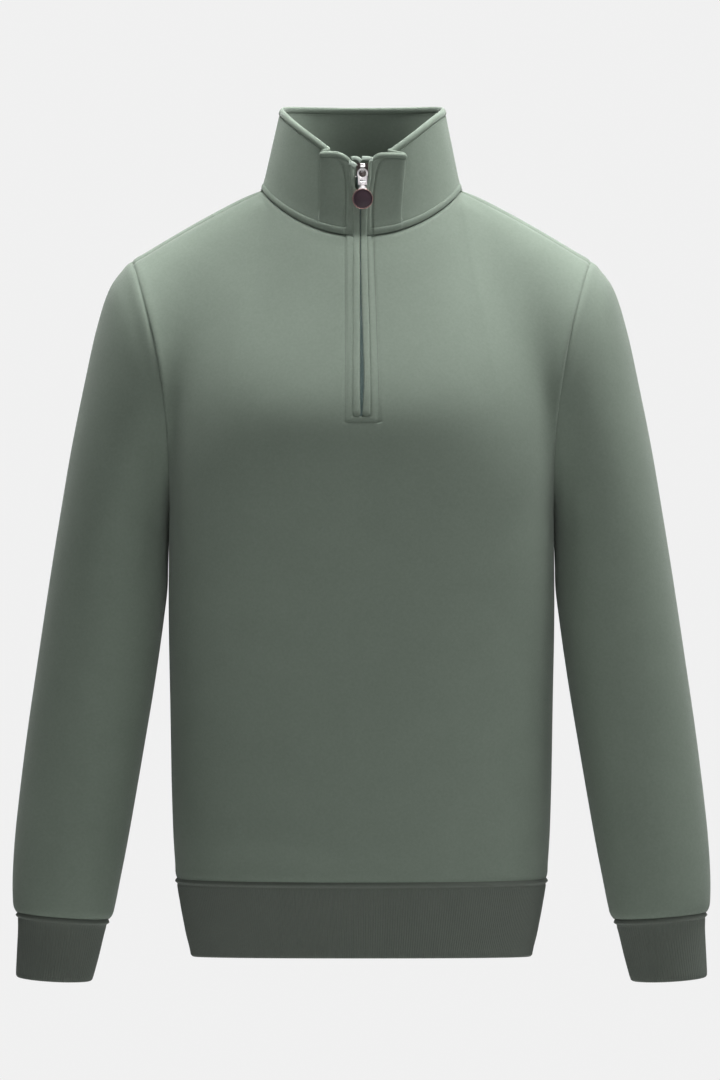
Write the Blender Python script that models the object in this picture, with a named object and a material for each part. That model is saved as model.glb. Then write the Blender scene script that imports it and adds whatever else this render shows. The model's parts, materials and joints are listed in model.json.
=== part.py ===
"""Quarter zip sweater, filled out as it is worn, hollow and open at the neck, cuffs and hem.

The front faces -Y and +X is the wearer's left. The origin is midway between the two points where
the shoulder seams meet the neck. Sizes in the tables are millimetres; points are metres.
"""
import math

import bmesh
import bpy
from mathutils import Vector

MM = 0.001

# Cloth
WALL = 1.4
RIB_WALL = 2.0
COLLAR_WALL = 1.8
SEAM_GAP = 0.3
SLEEVE_CLEARANCE = 0.45

# Body
UNDERARM_Z = -295.0
HEM_SEAM_Z = -639.0
HEM_BOTTOM_Z = -712.0
NECK_HALF_WIDTH = 92.5
NECK_FRONT = 75.0
NECK_BACK = 72.0
NECK_FRONT_DROP = 46.5
NECK_BACK_RISE = 18.0
SHOULDER_SEAM_ANGLE = 84.0
SHOULDER_TIP_ANGLE = 15.0
NECK_SHARE = 0.45
TURN_START = 0.12
TURN_WIDTH = 0.43
# The way each panel's columns leave the underarm level, and reach the neck seam and the shoulder seam.
FRONT_WAYS = {"lift": 0.95, "neck": (0.0, 0.675, 0.585), "shoulder": (0.0, 0.648, 0.36)}
BACK_WAYS = {"lift": 1.0, "neck": (0.0, -0.45, 0.765), "shoulder": (0.0, -0.558, -0.324)}
ARMHOLE_REACH = 4.0
CHEST_SWELL = 11.5
CHEST_LOW = 0.85
SHOULDER_CREST = 2.4
NEAR_TOP = 0.965
# Rows that the front and back share below the underarm, so that their side seams run together.
SIDE_LEVELS = [-300.0, -240.0, -175.0, -110.0, -50.0]
NECK_BAND_START = 0.055

# Collar and zip
COLLAR_EDGE_HEIGHT = 6.0
COLLAR_START = 0.016
COLLAR_END_GAP = 0.0043
PLEAT_DEPTH = 5.0
PLEAT_START = 0.24
PLEAT_CREST = 0.29
PLEAT_RISE = 0.05
PLEAT_FALL = 0.12
PLEAT_FOOT = 0.35
PLEAT_HEIGHT = 0.5
SLIT_HALF_WIDTH = 7.6
ZIP_END_Z = -214.0
WELT_IN = 0.8
WELT_OUT = 7.2
WELT_RAISE = 0.8
TAPE_FRONT = -3.3
TAPE_THICKNESS = 0.6
SLIDER_X = 1.0
SLIDER_TILT = 7.7
HINGE_Z = 14.6
HINGE_OUT = 3.9
FRONT_PLATE = (8.0, 1.6, 13.0)
REAR_PLATE = (7.6, 1.0, 12.0)
POST = (1.4, 5.6, 4.0)
BRIDGE_OUTER = 3.1
BRIDGE_INNER = 1.75
BRIDGE_WIDTH = 3.0

# Zip pull
EYE_OUTER = 5.0
EYE_INNER = 3.35
EYE_DROP = 4.2
LINK_THICKNESS = 1.4
LINK_WIDTH = 8.6
LINK_END = 14.9
SLOT_TOP = 10.5
SLOT_BOTTOM = 12.1
SLOT_WIDTH = 4.8
BAR_DROP = 13.5
LOOP_OUTER = 2.35
LOOP_INNER = 1.75
LOOP_WIDTH = 4.0
DISC_RADIUS = 9.5
DISC_DROP = 27.8
DISC_THICKNESS = 2.2
FACE_RADIUS = 8.5
FACE_DEPTH = 0.6
ENAMEL = 0.2
DISC_SIDES = 64

SAGE = (0.25, 0.33, 0.265)
SAGE_RIB = (0.19, 0.245, 0.20)
TAPE_GREEN = (0.42, 0.55, 0.46)
TEETH_GREY = (0.20, 0.29, 0.28)
STEEL = (0.72, 0.70, 0.70)
PLUM = (0.045, 0.028, 0.038)


def table(columns, *rows):
    """Rows with named columns."""
    names = columns.split()
    return [dict(zip(names, row)) for row in rows]


# One row per height of the body, hem to underarm. Depths are measured from side_y.
TORSO = table(
    "z half_width front back side_y squareness rise",
    (-712.0, 158.5, 98.0, 92.0, 4.0, 2.3, 5.0),
    (-690.0, 163.5, 102.0, 95.0, 4.0, 2.3, 4.0),
    (-660.0, 169.0, 108.0, 99.0, 4.0, 2.3, 3.0),
    (-639.0, 172.3, 112.0, 102.0, 4.0, 2.3, 2.0),
    (-600.0, 175.0, 117.0, 104.0, 4.0, 2.3, 0.0),
    (-550.0, 176.6, 119.0, 105.0, 3.0, 2.3, 0.0),
    (-475.0, 177.8, 124.0, 106.0, 1.0, 2.35, 0.0),
    (-400.0, 179.0, 130.0, 112.0, -1.0, 2.6, 0.0),
    (-340.0, 178.6, 137.0, 119.0, -4.0, 2.85, 0.0),
    (-295.0, 177.7, 140.0, 123.0, -6.0, 3.0, 0.0),
)

# One row per ring of the +X sleeve, armhole to cuff seam. Outer and inner are its ends seen from
# the front, half_depth is along Y about mid_y, and the bows pull the ring's front and back to -X.
SLEEVE = table(
    "outer_x outer_z inner_x inner_z mid_y half_depth bow_front bow_back",
    (213.4, -66.0, 177.7, -295.0, -6.0, 82.0, 12.0, 7.0),
    (232.5, -90.0, 178.3, -300.0, -6.0, 82.0, 8.5, 5.0),
    (245.5, -129.0, 178.9, -306.0, -6.0, 81.0, 5.0, 3.0),
    (257.2, -182.0, 179.4, -314.0, -6.0, 79.0, 2.0, 1.0),
    (269.0, -241.0, 180.0, -325.0, -6.0, 76.0, 0.0, 0.0),
    (280.0, -306.0, 180.9, -352.0, -6.0, 72.0, 0.0, 0.0),
    (289.0, -362.0, 181.6, -385.0, -6.0, 68.0, 0.0, 0.0),
    (300.2, -437.0, 190.8, -453.0, -7.0, 63.0, 0.0, 0.0),
    (310.8, -511.0, 203.2, -528.0, -9.0, 57.0, 0.0, 0.0),
    (319.4, -585.0, 215.2, -598.0, -14.0, 52.0, 0.0, 0.0),
    (322.4, -627.0, 222.8, -638.0, -18.0, 48.0, 0.0, 0.0),
    (322.6, -655.0, 228.0, -664.0, -20.0, 45.0, 0.0, 0.0),
    (320.4, -668.6, 231.8, -675.6, -21.0, 41.0, 0.0, 0.0),
)

# The cuff's rings, as the sleeve's.
CUFF = table(
    "outer_x outer_z inner_x inner_z mid_y half_depth bow_front bow_back",
    (318.6, -669.2, 233.6, -676.4, -21.0, 39.0, 0.0, 0.0),
    (317.4, -682.0, 237.2, -687.0, -22.0, 36.0, 0.0, 0.0),
    (318.4, -706.0, 243.0, -711.0, -23.0, 35.0, 0.0, 0.0),
    (319.4, -728.5, 249.0, -733.0, -24.0, 35.5, 0.0, 0.0),
)

# The collar's top, one row per control point from the zip to centre back, on the +X side.
# base_angle is where the same line of the collar starts on the neck seam.
COLLAR_TOP = table(
    "x y z base_angle",
    (7.6, -65.0, 28.0, 4.9),
    (20.0, -65.0, 30.0, 12.5),
    (34.0, -65.0, 31.0, 20.0),
    (42.0, -63.0, 33.0, 25.5),
    (46.0, -54.0, 38.0, 33.0),
    (54.0, -40.0, 47.0, 45.0),
    (63.0, -22.0, 57.5, 58.0),
    (72.0, -2.0, 70.5, 75.0),
    (76.6, 20.0, 78.8, 95.0),
    (72.8, 44.0, 81.6, 115.0),
    (57.0, 62.0, 82.4, 135.0),
    (30.0, 68.0, 82.4, 157.0),
    (0.0, 69.0, 82.4, 180.0),
)


def smooth_between(before, low, high, after, share):
    """Cubic through low and high, with slopes set by the values on either side."""
    slope_low = (high - before) / 2.0
    slope_high = (after - low) / 2.0
    t2 = share * share
    t3 = t2 * share
    return ((2 * t3 - 3 * t2 + 1) * low + (t3 - 2 * t2 + share) * slope_low
            + (3 * t2 - 2 * t3) * high + (t3 - t2) * slope_high)


def read_row(rows, place):
    """All columns at a fractional row number, smoothly between the rows."""
    last = len(rows) - 1
    low = min(max(int(math.floor(place)), 0), last - 1)
    share = place - low
    before = rows[max(low - 1, 0)]
    after = rows[min(low + 2, last)]
    return {key: smooth_between(before[key], rows[low][key], rows[low + 1][key], after[key], share)
            for key in rows[low]}


def row_place(rows, key, value):
    """The fractional row number at which a rising column reaches a value."""
    for low in range(len(rows) - 1):
        start = rows[low][key]
        end = rows[low + 1][key]
        if value <= end or low == len(rows) - 2:
            return low + (value - start) / (end - start)
    return 0.0


def power_of(value, power):
    """A signed power, for superellipses."""
    return math.copysign(abs(value) ** power, value)


def hermite(start, end, start_pull, end_pull, t):
    """Point of a cubic between two points, leaving and arriving along the given pulls."""
    t2 = t * t
    t3 = t2 * t
    return ((2 * t3 - 3 * t2 + 1) * start + (t3 - 2 * t2 + t) * start_pull
            + (3 * t2 - 2 * t3) * end + (t3 - t2) * end_pull)


def ease(value):
    """Smooth 0 to 1 step."""
    value = min(max(value, 0.0), 1.0)
    return value * value * (3.0 - 2.0 * value)


# ---------------------------------------------------------------- shapes of the cloth, in mm

def torso_point(z, angle):
    """Outer face of the body: angle 0 is centre front, 90 the +X side, 180 centre back."""
    place = row_place(TORSO, "z", z)
    row = read_row(TORSO, place)
    power = 2.0 / row["squareness"]
    turn = math.radians(angle)
    facing = math.cos(turn)
    depth = row["front"] if facing > 0.0 else row["back"]
    rise = row["rise"] * max(facing, 0.0)
    return Vector((row["half_width"] * power_of(math.sin(turn), power),
                   row["side_y"] - depth * power_of(facing, power),
                   z + rise))


def neck_point(angle):
    """The neck seam: angle 0 is centre front, 90 the +X side, 180 centre back."""
    turn = math.radians(angle)
    facing = math.cos(turn)
    if facing > 0.0:
        return Vector((NECK_HALF_WIDTH * math.sin(turn), -NECK_FRONT * facing,
                       -NECK_FRONT_DROP * facing ** 1.6))
    return Vector((NECK_HALF_WIDTH * math.sin(turn), -NECK_BACK * facing,
                   NECK_BACK_RISE * abs(facing) ** 1.6))


def ring_point(row, angle):
    """A ring of the +X sleeve: angle 0 is its outer end, 90 the front, 180 the inner end."""
    turn = math.radians(angle)
    along = (1.0 + math.cos(turn)) / 2.0
    front = math.sin(turn)
    bow = row["bow_front"] if front > 0.0 else row["bow_back"]
    return Vector((row["inner_x"] + (row["outer_x"] - row["inner_x"]) * along - bow * front * front,
                   row["mid_y"] - row["half_depth"] * front,
                   row["inner_z"] + (row["outer_z"] - row["inner_z"]) * along))


def armhole_point(angle):
    """The +X armhole seam on the body, by the same angles as the sleeve's rings."""
    return ring_point(SLEEVE[0], angle)


def slit_angle(z):
    """Angle at which the body's front is half the slit's width from the centre."""
    row = read_row(TORSO, row_place(TORSO, "z", z))
    share = (SLIT_HALF_WIDTH / row["half_width"]) ** (row["squareness"] / 2.0)
    return math.degrees(math.asin(share))


def column_angle(z, across, back):
    """Body angle of a panel's column: across 0 is the centre column, 1 the side seam."""
    if back:
        return 180.0 - 90.0 * across
    start = slit_angle(z)
    return start + (90.0 - start) * across


def top_edge(across, back):
    """A panel's upper edge: the neck seam, then the shoulder seam to the armhole."""
    neck_slit = math.degrees(math.asin(SLIT_HALF_WIDTH / NECK_HALF_WIDTH))
    if across <= NECK_SHARE:
        start = 180.0 if back else neck_slit
        return neck_point(start + (SHOULDER_SEAM_ANGLE - start) * across / NECK_SHARE)
    share = (across - NECK_SHARE) / (1.0 - NECK_SHARE)
    neck = neck_point(SHOULDER_SEAM_ANGLE)
    tip = armhole_point(SHOULDER_TIP_ANGLE)
    crest = Vector((0.0, 0.0, SHOULDER_CREST * math.sin(math.pi * share)))
    return neck.lerp(tip, share) + crest


def upper_column(across, t, back):
    """A column from the underarm level to the top edge, before the armhole is fitted."""
    low = torso_point(UNDERARM_Z, column_angle(UNDERARM_Z, across, back))
    high = top_edge(across, back)
    length = (high - low).length
    ways = BACK_WAYS if back else FRONT_WAYS
    arrive = Vector(ways["neck"]).lerp(Vector(ways["shoulder"]), ease((across - TURN_START) / TURN_WIDTH))
    leave = Vector((0.0, 0.0, ways["lift"]))
    point = hermite(low, high, leave * length, arrive * length, t)
    if not back:
        point.y -= CHEST_SWELL * math.sin(2.0 * math.pi * t ** CHEST_LOW) * (1.0 - across ** 3)
    return point


def upper_point(across, t, back):
    """A panel above the underarm, its side edge fitted to the armhole seam."""
    seam = armhole_point(seam_angle(t, back))
    fit = seam - upper_column(1.0, t, back)
    return upper_column(across, t, back) + fit * across ** ARMHOLE_REACH


def panel_point(across, level, back):
    """A panel by level: below 0 is mm under the underarm, 0 to 1 is underarm to top edge."""
    if level < 0.0:
        z = UNDERARM_Z + level
        return torso_point(z, column_angle(z, across, back))
    return upper_point(across, level, back)


def collar_top_point(share, side):
    """The collar's top edge: share 0 is the zip, 1 the centre back."""
    place = share * (len(COLLAR_TOP) - 1)
    row = read_row(COLLAR_TOP, place)
    return Vector((side * row["x"], row["y"], row["z"])), row["base_angle"]


def collar_point(share, up, side):
    """The collar's outer face, from the neck seam (up 0) to its top edge (up 1)."""
    top, base_angle = collar_top_point(share, side)
    base = neck_point(base_angle)
    base.x *= side
    crease = ease((share - PLEAT_START) / PLEAT_RISE) * (1.0 - ease((share - PLEAT_CREST) / PLEAT_FALL))
    fade = ease((up - PLEAT_FOOT) / PLEAT_HEIGHT)
    point = base.lerp(top, up)
    point.y += PLEAT_DEPTH * crease * fade
    return point


# ---------------------------------------------------------------- building solids

def material(name, colour, roughness, metallic=0.0):
    """A plain surface."""
    made = bpy.data.materials.new(name)
    made.use_nodes = True
    shader = made.node_tree.nodes["Principled BSDF"]
    shader.inputs["Base Color"].default_value = (*colour, 1.0)
    shader.inputs["Roughness"].default_value = roughness
    shader.inputs["Metallic"].default_value = metallic
    return made


def add_object(name, mesh, surface):
    """Link a mesh as a named object with its material, shaded smooth."""
    mesh.materials.append(surface)
    mesh.shade_smooth()
    mesh.set_sharp_from_angle(angle=math.radians(40.0))
    made = bpy.data.objects.new(name, mesh)
    bpy.context.scene.collection.objects.link(made)
    return made


def wall_object(name, rows, wall, surface, ring=False, leave_out=None, seam_ways=None):
    """A cloth wall whose outer face runs through the rows, low to high, each left to right.

    seam_ways gives, by row and column, the outward way to use where the wall meets a neighbour.
    """
    shape = bmesh.new()
    grid = [[shape.verts.new(point * MM) for point in row] for row in rows]
    columns = len(rows[0])
    for r in range(len(rows) - 1):
        for c in range(columns if ring else columns - 1):
            if leave_out and leave_out(r, c):
                continue
            n = (c + 1) % columns
            shape.faces.new((grid[r][c], grid[r][n], grid[r + 1][n], grid[r + 1][c]))
    shape.normal_update()
    skin = list(shape.faces)
    rims = [edge.link_loops[0] for edge in shape.edges if len(edge.link_faces) == 1]
    inner = {}
    for r, row in enumerate(grid):
        for c, vert in enumerate(row):
            way = (seam_ways or {}).get((r, c), vert.normal)
            inner[vert] = shape.verts.new(vert.co - way * wall * MM)
    for face in skin:
        shape.faces.new([inner[vert] for vert in reversed(face.verts)])
    for loop in rims:
        start = loop.vert
        end = loop.link_loop_next.vert
        shape.faces.new((end, start, inner[start], inner[end]))
    mesh = bpy.data.meshes.new(name)
    shape.to_mesh(mesh)
    shape.free()
    return add_object(name, mesh, surface)


def swept_object(name, sections, surface, ring=False):
    """A closed solid through like sections, each a loop of points."""
    shape = bmesh.new()
    loops = [[shape.verts.new(point * MM) for point in section] for section in sections]
    corners = len(sections[0])
    for s in range(len(loops) if ring else len(loops) - 1):
        this = loops[s]
        other = loops[(s + 1) % len(loops)]
        for c in range(corners):
            n = (c + 1) % corners
            shape.faces.new((this[c], this[n], other[n], other[c]))
    if not ring:
        shape.faces.new(list(reversed(loops[0])))
        shape.faces.new(loops[-1])
    bmesh.ops.recalc_face_normals(shape, faces=shape.faces)
    mesh = bpy.data.meshes.new(name)
    shape.to_mesh(mesh)
    shape.free()
    return add_object(name, mesh, surface)


def steps(start, end, count):
    """Evenly spaced values, both ends included."""
    return [start + (end - start) * i / (count - 1) for i in range(count)]


# ---------------------------------------------------------------- the body's panels

def slit_level():
    """Level at which the front's centre column reaches the zip's lower end."""
    low, high = 0.0, 1.0
    for _ in range(40):
        middle = (low + high) / 2.0
        if upper_point(0.0, middle, False).z < ZIP_END_Z:
            low = middle
        else:
            high = middle
    return low


def upper_levels(back):
    """A panel's rows above the underarm; on the front one of them ends the zip's slit."""
    if back:
        return steps(0.0, NEAR_TOP, 11) + [1.0]
    return steps(0.0, slit_level(), 4) + steps(slit_level(), NEAR_TOP, 9)[1:] + [1.0]


def seam_angle(level, back):
    """Where a panel's row meets the armhole, as an angle of the sleeve's first ring."""
    start = -180.0 if back else 180.0
    return start + (SHOULDER_TIP_ANGLE - start) * level


def panel_way(across, level, back):
    """Unit vector out of a panel's face, on the +X side."""
    step = 0.004
    width = panel_point(min(across + step, 1.0), level, back) - panel_point(max(across - step, 0.0), level, back)
    height = panel_point(across, min(level + step, 1.0), back) - panel_point(across, level - step, back)
    way = width.cross(height).normalized()
    return -way if back else way


def sleeve_way(angle):
    """Unit vector out of the +X sleeve's face at the armhole."""
    first = read_row(SLEEVE, 0.0)
    second = read_row(SLEEVE, 0.1)
    round_way = ring_point(first, angle + 1.0) - ring_point(first, angle - 1.0)
    along = ring_point(second, angle) - ring_point(first, angle)
    return round_way.cross(along).normalized()


def armhole_way(angle, own):
    """The way that halves the seam's angle, or the piece's own where the seam folds back on itself."""
    back = angle < SHOULDER_TIP_ANGLE
    start = -180.0 if back else 180.0
    level = min(max((angle - start) / (SHOULDER_TIP_ANGLE - start), 0.01), 0.999)
    body = panel_way(1.0, level, back)
    arm = sleeve_way(angle)
    if body.dot(arm) < 0.3:
        return own
    return (body + arm).normalized()


def panel_rows(levels, shares, back):
    """Rows of a panel across both halves, trimmed at its seams, and the ways at those seams."""
    rows = []
    ways = {}
    last = len(shares) - 1
    trim = SEAM_GAP / 2.0
    for r, level in enumerate(levels):
        half = [panel_point(share, level, back) for share in shares]
        half_ways = {}
        if level <= 0.0:
            half[-1].y += trim if back else -trim
            half_ways[last] = Vector((1.0, 0.0, 0.0))
        if 0.0 < level < 1.0:
            half_ways[last] = armhole_way(seam_angle(level, back), panel_way(1.0, level, back))
        if level == 1.0:
            for i, share in enumerate(shares):
                below = panel_point(share, 0.99, back)
                half[i] = half[i] - (half[i] - below).normalized() * trim
                if share > NECK_SHARE:
                    way = panel_way(share, 1.0, False) + panel_way(share, 1.0, True)
                    half_ways[i] = way.normalized()
            half_ways[last] = armhole_way(SHOULDER_TIP_ANGLE, half_ways[last])
        mirrored = [Vector((-point.x, point.y, point.z)) for point in half]
        if back:
            rows.append(list(reversed(half)) + mirrored[1:])
            for i, way in half_ways.items():
                ways[(r, last - i)] = way
                ways[(r, last + i)] = Vector((-way.x, way.y, way.z))
        else:
            rows.append(list(reversed(mirrored)) + half)
            for i, way in half_ways.items():
                ways[(r, last - i)] = Vector((-way.x, way.y, way.z))
                ways[(r, last + 1 + i)] = way
    return rows, ways


def build_front(surface):
    bottom = HEM_SEAM_Z - UNDERARM_Z + SEAM_GAP / 2.0
    levels = [bottom] + SIDE_LEVELS + upper_levels(False)
    shares = steps(0.0, 1.0, 12)
    first_slit_row = levels.index(slit_level())
    centre = len(shares) - 1
    rows, ways = panel_rows(levels, shares, False)

    def leave_out(row, column):
        return column == centre and row >= first_slit_row

    wall_object("front_panel", rows, WALL, surface, leave_out=leave_out, seam_ways=ways)


def build_back(surface):
    bottom = HEM_SEAM_Z - UNDERARM_Z + SEAM_GAP / 2.0
    levels = [bottom] + SIDE_LEVELS + upper_levels(True)
    rows, ways = panel_rows(levels, steps(0.0, 1.0, 12), True)
    wall_object("back_panel", rows, WALL, surface, seam_ways=ways)


def build_hem(surface):
    heights = steps(HEM_BOTTOM_Z, HEM_SEAM_Z - SEAM_GAP / 2.0, 4)
    rows = [[torso_point(z, angle) for angle in steps(0.0, 360.0, 45)[:-1]] for z in heights]
    return wall_object("hem_rib", rows, RIB_WALL, surface, ring=True)


# ---------------------------------------------------------------- sleeves and cuffs

def ring_angles(side):
    """Angles round a ring, anticlockwise seen from above, one for each row of the panels it meets."""
    front = [seam_angle(level, False) for level in upper_levels(False)]
    back = [seam_angle(level, True) for level in reversed(upper_levels(True))]
    angles = front + back[1:-1]
    return angles if side > 0 else list(reversed(angles))


def sleeve_rings(rows, places, side):
    """Rings of a sleeve or cuff, low to high, just clear of the body."""
    rings = []
    for place in reversed(places):
        row = read_row(rows, place)
        points = [ring_point(row, angle) for angle in ring_angles(side)]
        rings.append([Vector((side * (point.x + SLEEVE_CLEARANCE), point.y, point.z)) for point in points])
    return rings


def build_sleeve(name, side, surface):
    places = [0.0, 0.6, 1.3, 2.0, 3.0, 4.0, 5.0, 6.0, 7.0, 8.0, 9.0, 10.0, 11.0, 12.0]
    top = len(places) - 1
    ways = {}
    for c, angle in enumerate(ring_angles(side)):
        way = armhole_way(angle, sleeve_way(angle))
        ways[(top, c)] = Vector((side * way.x, way.y, way.z))
    rings = sleeve_rings(SLEEVE, places, side)
    wall_object(name, rings, WALL, surface, ring=True, seam_ways=ways)


def build_cuff(name, side, surface):
    rings = sleeve_rings(CUFF, steps(0.0, 3.0, 4), side)
    wall_object(name, rings, RIB_WALL, surface, ring=True)


# ---------------------------------------------------------------- collar, its edge and the neck tape

def round_collar(shares, make):
    """Points from the -X side of the zip round the back to the +X side."""
    left = [make(share, -1.0) for share in shares]
    right = [make(share, 1.0) for share in reversed(shares)]
    return left + right[1:]


def collar_shares():
    return steps(0.0, 0.2, 3) + steps(0.23, 0.42, 6) + steps(0.49, 1.0, 10)


def outward_at(share, up, side):
    """Unit vector out of the collar's face."""
    ahead = collar_point(min(share + 0.01, 1.0), up, side) - collar_point(max(share - 0.01, 0.0), up, side)
    rise = collar_point(share, min(up + 0.02, 1.0), side) - collar_point(share, max(up - 0.02, 0.0), side)
    return ahead.cross(rise).normalized() * side


def edge_start(share, side):
    """How far up the collar its rolled edge begins."""
    height = (collar_point(share, 1.0, side) - collar_point(share, 0.0, side)).length
    return 1.0 - COLLAR_EDGE_HEIGHT / height


def build_collar(surface):
    rows = []
    for up_share in steps(0.0, 1.0, 6):
        def make(share, side, up_share=up_share):
            low = COLLAR_START
            high = edge_start(share, side) - COLLAR_END_GAP
            return collar_point(share, low + (high - low) * up_share, side)
        line = round_collar(collar_shares(), make)
        line.reverse()
        rows.append(line)
    return wall_object("collar", rows, COLLAR_WALL, surface)


def build_collar_edge(surface):
    outline = table("up out", (0.0, 0.4), (0.7, 0.8), (1.0, -0.2), (1.0, -1.6), (0.7, -2.6), (0.0, -2.2))

    def make(share, side):
        start = edge_start(share, side)
        outward = outward_at(share, start, side)
        return [collar_point(share, start + (1.0 - start) * row["up"], side) + outward * row["out"]
                for row in outline]

    return swept_object("collar_edge", round_collar(collar_shares(), make), surface)


def build_neck_band(surface):
    outline = table("height out", (1.5, 0.4), (4.0, 0.3), (7.3, 0.3), (7.0, 1.6), (4.2, 2.5), (1.8, 2.0))

    def make(share, side):
        height = (collar_point(share, 1.0, side) - collar_point(share, 0.0, side)).length
        return [collar_point(share, row["height"] / height, side)
                + outward_at(share, row["height"] / height, side) * row["out"] for row in outline]

    shares = [NECK_BAND_START] + [share for share in collar_shares() if share > NECK_BAND_START]
    swept_object("neck_band", round_collar(shares, make), surface)


# ---------------------------------------------------------------- the zip

def zip_line():
    """Stations down the zip's centre: point and outward way, from collar top to the zip's end."""
    points = [collar_point(0.0, up, 1.0) for up in steps(0.86, 0.06, 9)]
    points += [upper_point(0.0, level, False) for level in steps(0.985, slit_level() + 0.005, 15)]
    stations = []
    for i, point in enumerate(points):
        ahead = points[min(i + 1, len(points) - 1)] - points[max(i - 1, 0)]
        outward = Vector((0.0, ahead.z, -ahead.y)).normalized()
        stations.append((Vector((0.0, point.y, point.z)), outward))
    return stations


def slider_spread(z):
    """How far the zip's lips open at the slider: 1 beside it, 0 well below."""
    return ease((z + 12.0) / 20.0)


def strip(name, stations, surface, inner, outer, front, back, side):
    """A flat strip down the zip, between two distances from its centre and two depths."""
    sections = []
    for point, outward in stations:
        near = inner(point.z)
        sections.append([
            point + Vector((side * near, 0.0, 0.0)) + outward * front,
            point + Vector((side * outer, 0.0, 0.0)) + outward * front,
            point + Vector((side * outer, 0.0, 0.0)) + outward * back,
            point + Vector((side * near, 0.0, 0.0)) + outward * back,
        ])
    return swept_object(name, sections, surface)


def build_zip(cloth, tape, teeth):
    stations = zip_line()

    def welt_inner(z):
        return WELT_IN + (5.6 - WELT_IN) * slider_spread(z)

    for name, side in (("left", 1.0), ("right", -1.0)):
        strip("zip_welt_" + name, stations, cloth, welt_inner, WELT_OUT, WELT_RAISE, -1.0, side)
        tape_inner = 1.0 + side * SLIDER_X
        strip("zip_tape_" + name, stations, tape, lambda z, near=tape_inner: near, 10.5, TAPE_FRONT,
              TAPE_FRONT - TAPE_THICKNESS, side)
    below = [station for station in stations if station[0].z < -4.0]
    sections = []
    for point, outward in below:
        sections.append([point + Vector((x, 0.0, 0.0)) + outward * out
                         for x, out in ((-2.4, -1.4), (2.4, -1.4), (2.4, -2.9), (-2.4, -2.9))])
    swept_object("zip_chain", sections, teeth)


# ---------------------------------------------------------------- slider, link and disc

def hinge_place():
    """The pull's axis on the slider, in mm, and the zip's outward way there."""
    height = collar_point(0.0, 1.0, 1.0).z - collar_point(0.0, 0.0, 1.0).z
    up = (HINGE_Z - collar_point(0.0, 0.0, 1.0).z) / height
    face = collar_point(0.0, up, 1.0)
    tilt = math.radians(SLIDER_TILT)
    outward = Vector((0.0, -math.cos(tilt), math.sin(tilt)))
    return Vector((SLIDER_X, face.y, face.z)) + outward * HINGE_OUT


def primitive_box(name, centre, size):
    """A box in the hardware's own frame: X across, Y out of the cloth (negative), Z up."""
    bpy.ops.mesh.primitive_cube_add(size=1.0)
    made = bpy.context.object
    made.name = name
    for vert in made.data.vertices:
        vert.co = Vector([(vert.co[i] * size[i] + centre[i]) * MM for i in range(3)])
    return made


def primitive_rod(name, centre, radius, length, along, sides=36):
    """A round rod along X or Y in the hardware's own frame."""
    turn = (0.0, math.pi / 2.0, 0.0) if along == "X" else (math.pi / 2.0, 0.0, 0.0)
    bpy.ops.mesh.primitive_cylinder_add(vertices=sides, radius=radius * MM, depth=length * MM,
                                        location=Vector(centre) * MM, rotation=turn)
    made = bpy.context.object
    made.name = name
    bpy.ops.object.transform_apply(location=True, rotation=True, scale=True)
    return made


def plate(name, outline, thickness):
    """A flat plate in the hardware's own frame, from its outline seen from the front."""
    halves = [[Vector((x, y, z)) for x, z in outline] for y in (-thickness / 2.0, thickness / 2.0)]
    shape = bmesh.new()
    front, rear = [[shape.verts.new(point * MM) for point in half] for half in halves]
    shape.faces.new(front)
    shape.faces.new(list(reversed(rear)))
    for i in range(len(front)):
        n = (i + 1) % len(front)
        shape.faces.new((front[n], front[i], rear[i], rear[n]))
    bmesh.ops.recalc_face_normals(shape, faces=shape.faces)
    mesh = bpy.data.meshes.new(name)
    shape.to_mesh(mesh)
    shape.free()
    made = bpy.data.objects.new(name, mesh)
    bpy.context.scene.collection.objects.link(made)
    return made


def combine(base, other, operation):
    """Join or cut with another object, which is used up."""
    change = base.modifiers.new(operation.lower(), "BOOLEAN")
    change.operation = operation
    change.solver = "EXACT"
    change.object = other
    bpy.context.view_layer.objects.active = base
    bpy.ops.object.modifier_apply(modifier=change.name)
    bpy.data.objects.remove(other)


def finish_hardware(made, name, surface, place):
    """Set the surface and stand the piece on the collar's slope."""
    made.name = name
    made.data.materials.clear()
    made.data.materials.append(surface)
    made.data.shade_smooth()
    made.data.set_sharp_from_angle(angle=math.radians(35.0))
    made.location = place * MM
    made.rotation_euler = (math.radians(-SLIDER_TILT), 0.0, 0.0)
    return made


def build_slider(surface, place):
    """Plates in front of and behind the tapes, a post between them, and the pull's bridge."""
    front = primitive_box("slider", (0.0, HINGE_OUT - 0.6, 0.0), FRONT_PLATE)
    combine(front, primitive_box("post", (0.0, HINGE_OUT + 2.3, 3.5), POST), "UNION")
    combine(front, primitive_box("rear", (0.0, HINGE_OUT + 5.1, 0.0), REAR_PLATE), "UNION")
    bridge = primitive_rod("bridge", (0.0, 0.0, 0.0), BRIDGE_OUTER, BRIDGE_WIDTH, "X")
    foot = (BRIDGE_WIDTH, BRIDGE_WIDTH, 2.0 * BRIDGE_OUTER)
    combine(bridge, primitive_box("foot", (0.0, BRIDGE_WIDTH / 2.0, 0.0), foot), "UNION")
    combine(bridge, primitive_rod("hollow", (0.0, 0.0, 0.0), BRIDGE_INNER, 2.0 * BRIDGE_WIDTH, "X"), "DIFFERENCE")
    gap = (2.0 * BRIDGE_WIDTH, 2.4, 2.0 * BRIDGE_INNER)
    combine(bridge, primitive_box("gap", (0.0, gap[1] / 2.0, 0.0), gap), "DIFFERENCE")
    combine(front, bridge, "UNION")
    return finish_hardware(front, "slider", surface, place)


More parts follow.
